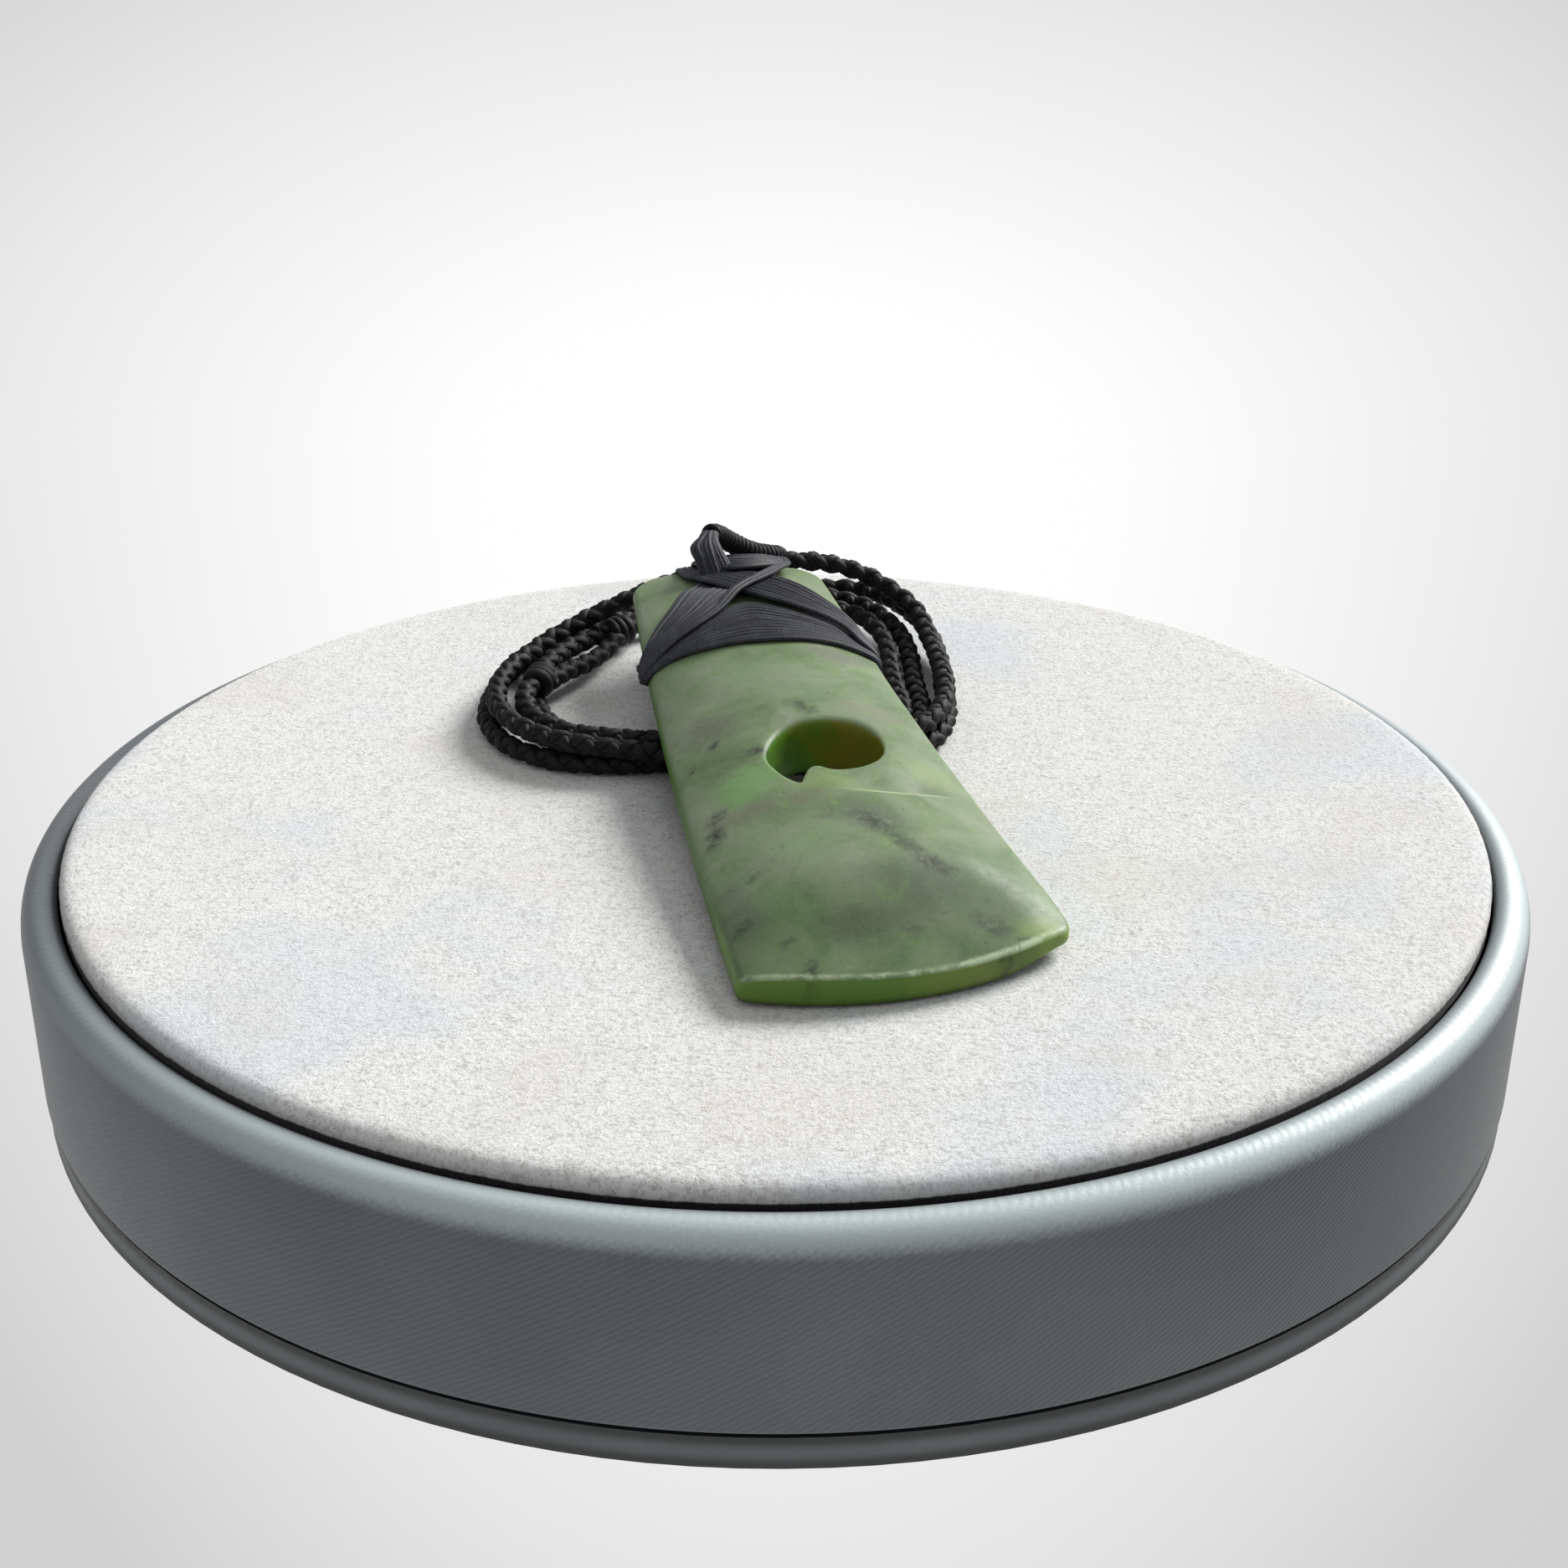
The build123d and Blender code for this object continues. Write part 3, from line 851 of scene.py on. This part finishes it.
def frayed(rings):
    """The pad's rolled edge pushed in a little, so that its nap looks short and uneven."""
    fray = random.normal(0.0, pad_fray, rings.shape[:2])
    fray = (fray + np.roll(fray, 1, axis=0)) / 2
    fray[:, :3] = 0
    fray[:, 9:] = 0
    rings[:, :, :2] *= (1 - np.abs(fray) / pad_radius)[:, :, None]
    return rings


pad = attach(lathe("pad_suede", pad_section, pad_segments, frayed), "stand_pad", "stand_pad")
drum = attach(lathe("drum_wrap", drum_section, drum_segments), "stand_wrap", "stand_drum")


def shade(*levels):
    """A linear colour from eight-bit screen levels."""
    shares = [level / 255 for level in levels]
    return (*(s / 12.92 if s <= 0.04045 else ((s + 0.055) / 1.055) ** 2.4 for s in shares), 1.0)


class Nodes:
    """A material's node tree, with short calls to add and link nodes."""

    def __init__(self, name, location=(0, 0, 0), rotation=(0, 0, 0)):
        self.material = bpy.data.materials.new(name)
        self.material.use_nodes = True
        self.tree = self.material.node_tree
        self.place = self.millimetres(location, rotation)

    def feed(self, socket, value):
        if isinstance(value, bpy.types.NodeSocket):
            self.tree.links.new(value, socket)
        else:
            socket.default_value = value

    def add(self, kind, settings=(), **inputs):
        """A node; its inputs go by number, as i0, or by name, _ for a space."""
        node = self.tree.nodes.new("ShaderNode" + kind)
        for key, value in dict(settings).items():
            setattr(node, key, value)
        for key, value in inputs.items():
            self.feed(node.inputs[int(key[1:]) if key[1:].isdigit() else key.replace("_", " ")], value)
        return node

    def finish(self, **values):
        """The material, its surface fed by name."""
        for key, value in values.items():
            self.feed(self.tree.nodes["Principled BSDF"].inputs[key.replace("_", " ")], value)
        return self.material

    def frame(self, vector, location, rotation, scale):
        node = self.add(
            "Mapping", {"vector_type": "TEXTURE"},
            Vector=vector, Location=location, Rotation=rotation, Scale=scale,
        )
        return node.outputs["Vector"]

    def millimetres(self, location, rotation=(0, 0, 0)):
        """Object coordinates in millimetres from a place."""
        source = self.add("TexCoord").outputs["Object"]
        return self.frame(source, [value * MM for value in location], rotation, (MM, MM, MM))

    def axes(self):
        return self.add("SeparateXYZ", Vector=self.place).outputs

    def noise(self, scale, detail, rough, distortion=0.0, output="Fac", vector=None):
        settings = {"Scale": scale, "Detail": detail, "Roughness": rough, "Distortion": distortion}
        vector = self.place if vector is None else vector
        return self.add("TexNoise", Vector=vector, **settings).outputs[output]

    def ramp(self, fac, *stops):
        """A colour ramp; each stop is a place and three screen levels."""
        node = self.add("ValToRGB", Fac=fac)
        elements = node.color_ramp.elements
        elements.remove(elements[-1])
        for index, (place, levels) in enumerate(stops):
            element = elements.new(place) if index else elements[0]
            element.position = place
            element.color = shade(*levels)
        return node.outputs["Color"]

    def math(self, operation, first, second=0.0):
        return self.add("Math", {"operation": operation}, i0=first, i1=second).outputs[0]

    def plus(self, first, second):
        return self.math("ADD", first, second)

    def minus(self, first, second):
        return self.math("SUBTRACT", first, second)

    def times(self, first, second):
        return self.math("MULTIPLY", first, second)

    def squared(self, value):
        return self.math("POWER", value, 2.0)

    def both(self, first, share, second):
        """A share of the first, and the rest of the second."""
        return self.plus(self.times(first, share), self.times(second, 1 - share))

    def vector(self, operation, first, second=(0, 0, 0), output="Vector"):
        return self.add("VectorMath", {"operation": operation}, i0=first, i1=second).outputs[output]

    def spread(self, value, low, high, to_low=0.0, to_high=1.0, kind="SMOOTHSTEP"):
        """A value's range carried to another range."""
        return self.add(
            "MapRange", {"interpolation_type": kind},
            Value=value, From_Min=low, From_Max=high, To_Min=to_low, To_Max=to_high,
        ).outputs[0]

    def even(self, value, low, high):
        """From low to high as a noise runs from 0.3 to 0.7."""
        return self.spread(value, 0.3, 0.7, low, high, "LINEAR")

    def mix(self, share, first, second, blend="MIX"):
        """A mix of two colours, the second a socket or screen levels."""
        if isinstance(second, tuple):
            second = shade(*second)
        kinds = {"data_type": "RGBA", "blend_type": blend}
        return self.add("Mix", kinds, i0=share, i6=first, i7=second).outputs[2]

    def tint(self, colour, value, low, high, share, levels):
        """A colour that turns by a share to other levels as a value runs from low to high."""
        return self.mix(self.spread(value, low, high, 0.0, share), colour, levels)

    def bump(self, height, strength, distance):
        return self.add("Bump", Strength=strength, Distance=distance * MM, Height=height).outputs["Normal"]


# Dark clouds in the stone: across, along, half length, half width, heading, depth
stone_marks = [
    (1.6, 19.6, 3.4, 1.5, -58, 0.75), (3.4, 15.6, 3.4, 1.4, -60, 0.75),
    (5.2, 12.4, 2.4, 1.3, -50, 0.85), (6.6, 11.8, 1.2, 0.7, -20, 0.6), (0.6, 43.2, 2.2, 1.3, -70, 0.75),
    (1.2, 41.6, 1.2, 0.8, 20, 0.6), (-5.5, 36.2, 1.5, 1.0, 0, 0.85), (-12.0, 24.6, 2.4, 1.0, 72, 0.85),
    (-11.4, 27.4, 1.6, 1.0, 60, 0.7), (-9.0, 40.2, 1.1, 0.7, 50, 0.75),
    (-11.8, 37.6, 1.0, 0.6, 40, 0.7), (-13.0, 9.0, 1.6, 0.9, 60, 0.75), (9.0, 1.2, 1.1, 0.8, 0, 0.95),
    (-8.4, 2.0, 1.5, 1.0, 60, 0.8), (-9.8, 5.6, 1.0, 0.6, 40, 0.5), (8.6, 5.2, 2.6, 1.4, -40, 0.6),
    (10.6, 3.6, 1.2, 0.8, -20, 0.6), (-10.4, 15.6, 0.8, 0.5, 30, 0.5), (1.6, 5.4, 1.2, 0.8, 0, 0.5),
]
# Broad patches: across, along, half length, half width, heading, share, colour
stone_patches = [
    (7.6, 55.4, 4.2, 2.4, -4, 0.75, (112, 112, 104)), (-2.7, 53.0, 5.2, 3.0, 12, 0.55, (130, 152, 116)),
    (0.6, 47.4, 5.6, 3.0, 8, 0.55, (128, 147, 116)), (-8.6, 43.6, 3.4, 3.6, 0, 0.65, (108, 110, 98)),
    (-9.8, 50.4, 2.4, 3.4, 0, 0.5, (118, 134, 102)), (-7.6, 31.2, 4.0, 3.4, 15, 0.85, (122, 162, 104)),
    (7.6, 42.2, 4.2, 2.4, -20, 0.7, (128, 132, 112)),
    (10.2, 29.4, 4.0, 2.6, -30, 0.75, (140, 158, 112)),
    (-6.0, 26.0, 7.5, 2.2, -6, 0.7, (118, 120, 102)), (-0.4, 27.8, 3.2, 2.0, 0, 0.8, (130, 150, 98)),
    (-5.8, 18.6, 5.6, 2.0, 18, 0.75, (124, 150, 108)), (-9.0, 17.0, 3.0, 2.6, 0, 0.5, (124, 134, 112)),
    (-8.6, 10.4, 3.6, 4.0, 0, 0.65, (112, 138, 96)), (3.4, 10.4, 6.0, 3.0, -15, 0.6, (104, 116, 98)),
    (-2.4, 6.6, 5.4, 3.0, 0, 0.8, (100, 110, 88)), (12.4, 3.8, 3.0, 2.6, 30, 0.9, (150, 170, 104)),
    (-12.6, 11.0, 2.0, 6.0, 0, 0.6, (116, 120, 110)), (9.0, 13.0, 3.6, 3.6, -30, 0.65, (112, 134, 100)),
    (1.6, 20.6, 5.0, 2.6, -30, 0.6, (104, 108, 100)), (6.2, 35.0, 9.0, 1.4, 70, 0.3, (124, 128, 110)),
]


def greenstone():
    """Mottled, slightly see-through nephrite with darker flecks and a satin polish; painted light and shade
    on its bevel, step and walls.
    """
    net = Nodes("greenstone_polished", blade_origin, (blade_tilt, 0.0, blade_heading))
    x, y, z = net.axes()

    def warped(scale, reach):
        """The place pushed about by a noise, so that outlines wander."""
        push = net.noise(scale, 5.0, 0.6, output="Color")
        push = net.vector("MULTIPLY", net.vector("SUBTRACT", push, (0.5,) * 3), (reach,) * 3)
        return net.vector("ADD", net.place, push)

    def spot(vector, u, v, long_half, wide_half, way):
        """Distance from a spot's middle, one at its rim; it runs through the blade's thickness."""
        local = net.frame(vector, (u, v, 4.0), (0.0, 0.0, radians(way)), (long_half, wide_half, 6.0))
        return net.vector("LENGTH", local, output="Value")

    clouds = net.noise(0.13, 5.0, 0.6, 0.8)
    veils = net.noise(0.30, 6.0, 0.66, 1.2)
    grain = net.noise(2.4, 6.0, 0.65)
    flecks = net.noise(1.1, 6.0, 0.7)
    specks = net.noise(0.75, 4.0, 0.55)
    mottle = net.noise(0.9, 5.0, 0.7, 0.6)
    polish = net.noise(0.8, 4.0, 0.6)
    colour = net.ramp(
        clouds, (0.30, (96, 116, 80)), (0.43, (110, 132, 93)), (0.52, (124, 142, 108)),
        (0.62, (132, 144, 117)), (0.74, (142, 152, 130)),
    )
    wandering = warped(0.22, 4.5)
    for *shape, share, levels in stone_patches:
        colour = net.tint(colour, spot(wandering, *shape), 1.25, 0.35, share, levels)
    colour = net.tint(colour, veils, 0.54, 0.70, 0.5, (116, 150, 88))
    colour = net.tint(colour, veils, 0.43, 0.28, 0.4, (118, 112, 100))
    ragged = warped(0.8, 2.0)
    marks = 0.0
    for *shape, depth in stone_marks:
        marks = net.math("MAXIMUM", marks, net.spread(spot(ragged, *shape), 1.25, 0.1, 0.0, depth))
    marks = net.times(marks, net.spread(flecks, 0.38, 0.54, 0.30, 1.15))
    colour = net.mix(marks, colour, (56, 58, 60))
    colour = net.tint(colour, specks, 0.66, 0.76, 0.55, (66, 74, 60))
    colour = net.tint(colour, mottle, 0.56, 0.74, 0.35, (84, 100, 68))
    colour = net.tint(colour, mottle, 0.44, 0.26, 0.35, (150, 166, 128))
    colour = net.tint(colour, grain, 0.35, 0.75, 0.22, (150, 160, 136))

    # Painted shade: the ground bevel is darkened and made a little greener; painted highlight: its lip is
    # pale
    from_edge = net.minus(y, net.times(net.squared(net.plus(x, 1.86)), 0.0163))
    bevel_shade = net.spread(net.plus(from_edge, net.times(veils, 6.0)), 20.0, 9.0)
    bevel_shade = net.times(bevel_shade, net.spread(x, 15.0, 11.0))
    colour = net.mix(net.times(bevel_shade, 0.85), colour, (184, 198, 176), "MULTIPLY")
    # Painted highlight along the lip where the bevel rounds over to the front, broken up by the veils
    lip_highlight = net.spread(net.plus(from_edge, net.times(flecks, 0.8)), 1.25, 0.65, 0.0, 0.7)
    lip_highlight = net.times(lip_highlight, net.spread(veils, 0.40, 0.56, 0.3, 1.0))
    colour = net.mix(lip_highlight, colour, (184, 200, 168))

    # A painted highlight along the edge of the carved step
    bow = net.times(net.squared(net.minus(x, step_middle)), step_bow)
    past = net.minus(net.minus(y, step_along), bow)
    line = net.spread(net.math("ABSOLUTE", net.plus(past, 0.05)), 0.26, 0.08)
    line = net.times(line, net.spread(x, -0.4, 3.6, 0.0, 0.6))
    line = net.times(line, net.spread(x, 11.5, 9.0))
    colour = net.mix(line, colour, (178, 192, 160))

    # Painted light and shade on the side walls and the eye's wall: deep greens for light coming through the
    # stone and for shade, picked by which way the surface faces
    normal = net.add("TexCoord").outputs["Normal"]
    facing = net.vector("DOT_PRODUCT", normal, tuple(up_way), "Value")
    painted_wall_light = net.spread(facing, 0.78, 0.30)
    by_eye = net.spread(spot(net.place, 0.8, eye_middle, 8.0, 7.6, 0), 1.05, 0.9)
    painted_wall_light = net.math("MAXIMUM", painted_wall_light, net.times(by_eye, net.spread(facing, 0.93, 0.55)))
    shifted = net.times(net.minus(clouds, 0.5), 0.6)
    across = net.plus(net.spread(x, -15, 16, kind="LINEAR"), shifted)
    painted_wall_colour = net.ramp(
        across, (0.0, (78, 108, 48)), (0.36, (70, 114, 36)), (0.52, (92, 122, 34)),
        (0.64, (128, 120, 34)), (0.82, (100, 118, 46)), (1.0, (120, 144, 64)),
    )
    painted_front_colour = net.ramp(
        across, (0.0, (98, 128, 58)), (0.4, (88, 122, 50)), (0.6, (112, 130, 62)), (0.8, (96, 114, 60)),
        (1.0, (122, 146, 68)),
    )
    painted_wall_colour = net.mix(net.spread(y, 14.0, 8.0), painted_wall_colour, painted_front_colour)
    painted_wall_colour = net.mix(marks, painted_wall_colour, (40, 46, 34))
    # Painted contact shade: the walls darken toward the blade's back, where it meets the pad
    painted_wall_colour = net.tint(painted_wall_colour, z, 0.9, 0.1, 0.6, (46, 44, 24))
    return net.finish(
        Base_Color=net.mix(painted_wall_light, colour, painted_wall_colour), Roughness=net.even(polish, 0.34, 0.48), IOR=1.61,
        Specular_IOR_Level=0.14, Subsurface_Weight=0.30, Subsurface_Radius=(0.8, 1.2, 0.4),
        Subsurface_Scale=0.0016, Normal=net.bump(net.plus(net.times(grain, 0.3), polish), 0.25, 0.05),
    )


def waxed_thread():
    """Charcoal waxed thread: flat plies with a dull shine."""
    net = Nodes("lashing_waxed_thread")
    fibres = net.noise(3.2, 5.0, 0.65)
    patches = net.noise(0.35, 3.0, 0.5)
    worn = net.noise(1.3, 4.0, 0.7)
    colour = net.ramp(
        net.both(fibres, 0.6, patches), (0.30, (24, 25, 29)), (0.50, (47, 49, 55)),
        (0.70, (80, 83, 90)),
    )
    return net.finish(
        Base_Color=net.tint(colour, worn, 0.68, 0.76, 0.25, (130, 134, 138)),
        Roughness=net.even(patches, 0.52, 0.68), Specular_IOR_Level=0.3,
        Normal=net.bump(fibres, 0.6, 0.08),
    )


def braided_cord():
    """Black braided cord with a faint lustre on its strands."""
    net = Nodes("cord_black_braid")
    fibres = net.noise(3.5, 5.0, 0.7)
    wear = net.noise(0.28, 3.0, 0.55)
    colour = net.ramp(
        net.both(fibres, 0.7, wear), (0.32, (6, 6, 7)), (0.52, (12, 11, 13)), (0.74, (27, 25, 29)),
    )
    return net.finish(
        Base_Color=colour, Roughness=net.even(wear, 0.52, 0.70), Specular_IOR_Level=0.28,
        Normal=net.bump(fibres, 0.7, 0.10),
    )


def suede():
    """Off-white suede: short nap with a fine speckle, and painted shade on its rolled edge."""
    net = Nodes("stand_pad_suede")
    height = net.axes()[2]
    nap = net.noise(2.1, 6.0, 0.72)
    speckle = net.noise(1.1, 4.0, 0.6)
    pepper = net.noise(4.6, 2.0, 0.5)
    cool = net.noise(0.034, 3.0, 0.55)
    warm = net.noise(0.046, 3.0, 0.55, vector=net.millimetres((310, 40, 0)))
    ragged = net.plus(height, net.times(nap, 0.25))
    colour = net.ramp(
        net.both(nap, 0.65, speckle), (0.38, (200, 199, 195)), (0.50, (240, 241, 239)),
        (0.62, (250, 251, 250)),
    )
    colour = net.tint(colour, pepper, 0.59, 0.67, 0.6, (168, 165, 159))
    colour = net.tint(colour, cool, 0.50, 0.66, 0.32, (208, 220, 232))
    colour = net.tint(colour, warm, 0.50, 0.66, 0.28, (224, 216, 208))
    # Painted shade: the rolled edge darkens toward its foot, and turns black below the rim's top, where the
    # gap by the rim lies in shade
    colour = net.tint(colour, ragged, 23.1, 21.9, 0.4, (136, 130, 122))
    return net.finish(
        Base_Color=net.tint(colour, ragged, 21.95, 21.75, 1.0, (16, 15, 15)),
        Roughness=net.even(speckle, 0.85, 1.0), Specular_IOR_Level=0.15, Sheen_Weight=0.25,
        Sheen_Roughness=0.5, Normal=net.bump(nap, 0.9, 0.28),
    )


rib_pitch = 0.95
rib_slant = -1.6
drum_radius = 75.0


def leatherette():
    """Blue-grey wrapped cloth with a fine slanting rib; a painted highlight on its rim and painted shade on
    its right side.
    """
    net = Nodes("stand_wrap_leatherette")
    x, y, z = net.axes()
    wobble = net.noise(0.9, 3.0, 0.6)
    fine = net.noise(2.6, 5.0, 0.65)
    tone = net.noise(0.04, 3.0, 0.5)
    around = net.times(net.math("ARCTAN2", x, net.times(y, -1.0)), drum_radius)
    slant = net.plus(around, net.times(z, rib_slant))
    rib = net.plus(net.times(slant, 2 * pi / rib_pitch), net.times(wobble, 5.0))
    rib = net.times(net.math("SINE", rib), net.spread(z, 21.0, 20.0, 0.22, 0.5))
    colour = net.ramp(
        net.both(tone, 0.7, fine), (0.35, (82, 88, 92)), (0.50, (92, 97, 100)), (0.65, (100, 104, 105)),
    )
    # Painted shade on the drum's right side
    colour = net.tint(colour, x, 30.0, drum_radius, 0.6, (70, 75, 78))
    # Painted highlight on the rim's outer roll, strongest toward the front right
    highlight_side = net.plus(net.times(x, 0.55 / drum_radius), net.times(y, -0.83 / drum_radius))
    rolled = net.plus(z, net.times(fine, 0.8))
    reach = net.math("SQRT", net.plus(net.squared(x), net.squared(y)))
    rim_highlight = net.times(net.spread(rolled, 19.4, 21.4), net.spread(highlight_side, -0.5, 0.75, 0.08, 0.9))
    rim_highlight = net.times(rim_highlight, net.spread(reach, 71.9, 73.2, 0.35, 1.0))
    return net.finish(
        Base_Color=net.mix(rim_highlight, colour, (200, 212, 214)), Roughness=net.even(fine, 0.36, 0.48),
        Normal=net.bump(net.plus(rib, fine), 0.5, 0.06),
    )


def base_plastic():
    """Dark matt base plate, with a painted highlight in the middle of its rounded thin side and painted
    shade above and below.
    """
    net = Nodes("stand_base_plastic")
    fine = net.noise(1.8, 5.0, 0.6)
    tone = net.noise(0.06, 2.0, 0.5)
    colour = net.ramp(net.both(tone, 0.6, fine), (0.35, (84, 89, 91)), (0.65, (100, 105, 106)))
    # Painted highlight in the middle of the rounded side, painted shade above and below it
    off_painted_highlight = net.math("ABSOLUTE", net.minus(net.axes()[2], 1.5))
    return net.finish(
        Base_Color=net.tint(colour, off_painted_highlight, 0.15, 1.2, 0.92, (30, 32, 33)),
        Roughness=net.even(fine, 0.45, 0.6), Normal=net.bump(fine, 0.3, 0.05),
    )


# How the floor's painted glow fades: it starts from a line in front, and falls with the slope from there
fade_front = 205.0
fade_height = 115.7
fade_nearest = 70.0
bright_slope = 0.283
fade_near = 0.68
fade_far = 0.21
fade_aside = 2.7


def floor_painted_glow():
    """Floor that glows with a painted pool of light, brightest behind the stand and dimmer all round."""
    net = Nodes("floor_painted_glow")
    x, y, z = net.axes()
    depth = net.math("MAXIMUM", net.plus(y, fade_front), fade_nearest)
    aside = net.times(net.math("DIVIDE", x, depth), fade_aside)
    slope = net.minus(net.math("DIVIDE", fade_height, depth), bright_slope)
    along = net.math("MAXIMUM", net.times(slope, 1 / fade_near), net.times(slope, -1 / fade_far))
    reach = net.math("SQRT", net.plus(net.squared(aside), net.squared(along)))
    fibre = net.noise(0.4, 4.0, 0.6)
    reach = net.plus(reach, net.times(net.minus(fibre, 0.5), 0.02))
    tone = net.ramp(
        net.times(reach, 1 / 2.5), (0.00, (253, 253, 253)), (0.16, (251, 251, 251)),
        (0.40, (230, 230, 230)), (0.58, (207, 207, 207)), (1.00, (198, 198, 199)),
    )
    # The floor's own colour is nearly black, so its painted glow carries its brightness and cast shadows
    # hardly show
    colour = net.mix(0.5, tone, (20, 20, 20), "MULTIPLY")
    return net.finish(
        Base_Color=net.mix(0.95, colour, (8, 8, 8)), Emission_Color=tone, Emission_Strength=1.0,
        Roughness=1.0, Specular_IOR_Level=0.0,
    )


def dress(material, *pieces):
    for piece in pieces:
        piece.data.materials.clear()
        piece.data.materials.append(material)


dress(greenstone(), blade)
dress(waxed_thread(), *straps, bail)
# The bail's far leg is black partly as painted shade
dress(braided_cord(), bail_wrap, neck_cord, *knots)
dress(suede(), pad)
dress(leatherette(), drum)
base_material = base_plastic()
for material_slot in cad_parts["stand_base"].material_slots:
    material_slot.material = base_material

# Floor, lights and surroundings
floor = add_mesh(
    "floor",
    [(-6000, -3000, 0), (6000, -3000, 0), (6000, 9000, 0), (-6000, 9000, 0)],
    [[0, 1, 2, 3]],
    shade_smooth=False,
)
dress(floor_painted_glow(), floor)


def add_light(name, kind, way, place=(0, 0, 0), **settings):
    """A light that shines along a direction."""
    data = bpy.data.lights.new(name, kind)
    for key, value in settings.items():
        setattr(data, key, value)
    light = bpy.data.objects.new(name, data)
    collection.objects.link(light)
    light.location = Vector(place) * MM
    light.rotation_euler = Vector(way).to_track_quat("-Z", "Y").to_euler()


add_light("key_light", "SUN", (-1.05, -1.0, -1.0), energy=4.3, angle=radians(28), color=(1.0, 0.99, 0.97))
add_light("top_light", "AREA", (0, 40, -880), (0, -40, 900), shape="DISK", size=0.7, energy=0.5)

world = bpy.data.worlds.new("studio")
bpy.context.scene.world = world
world.use_nodes = True
background = world.node_tree.nodes["Background"]
background.inputs["Color"].default_value = (0.975, 0.985, 1.0, 1.0)
background.inputs["Strength"].default_value = 0.36
bpy.context.scene.view_settings.view_transform = "Standard"
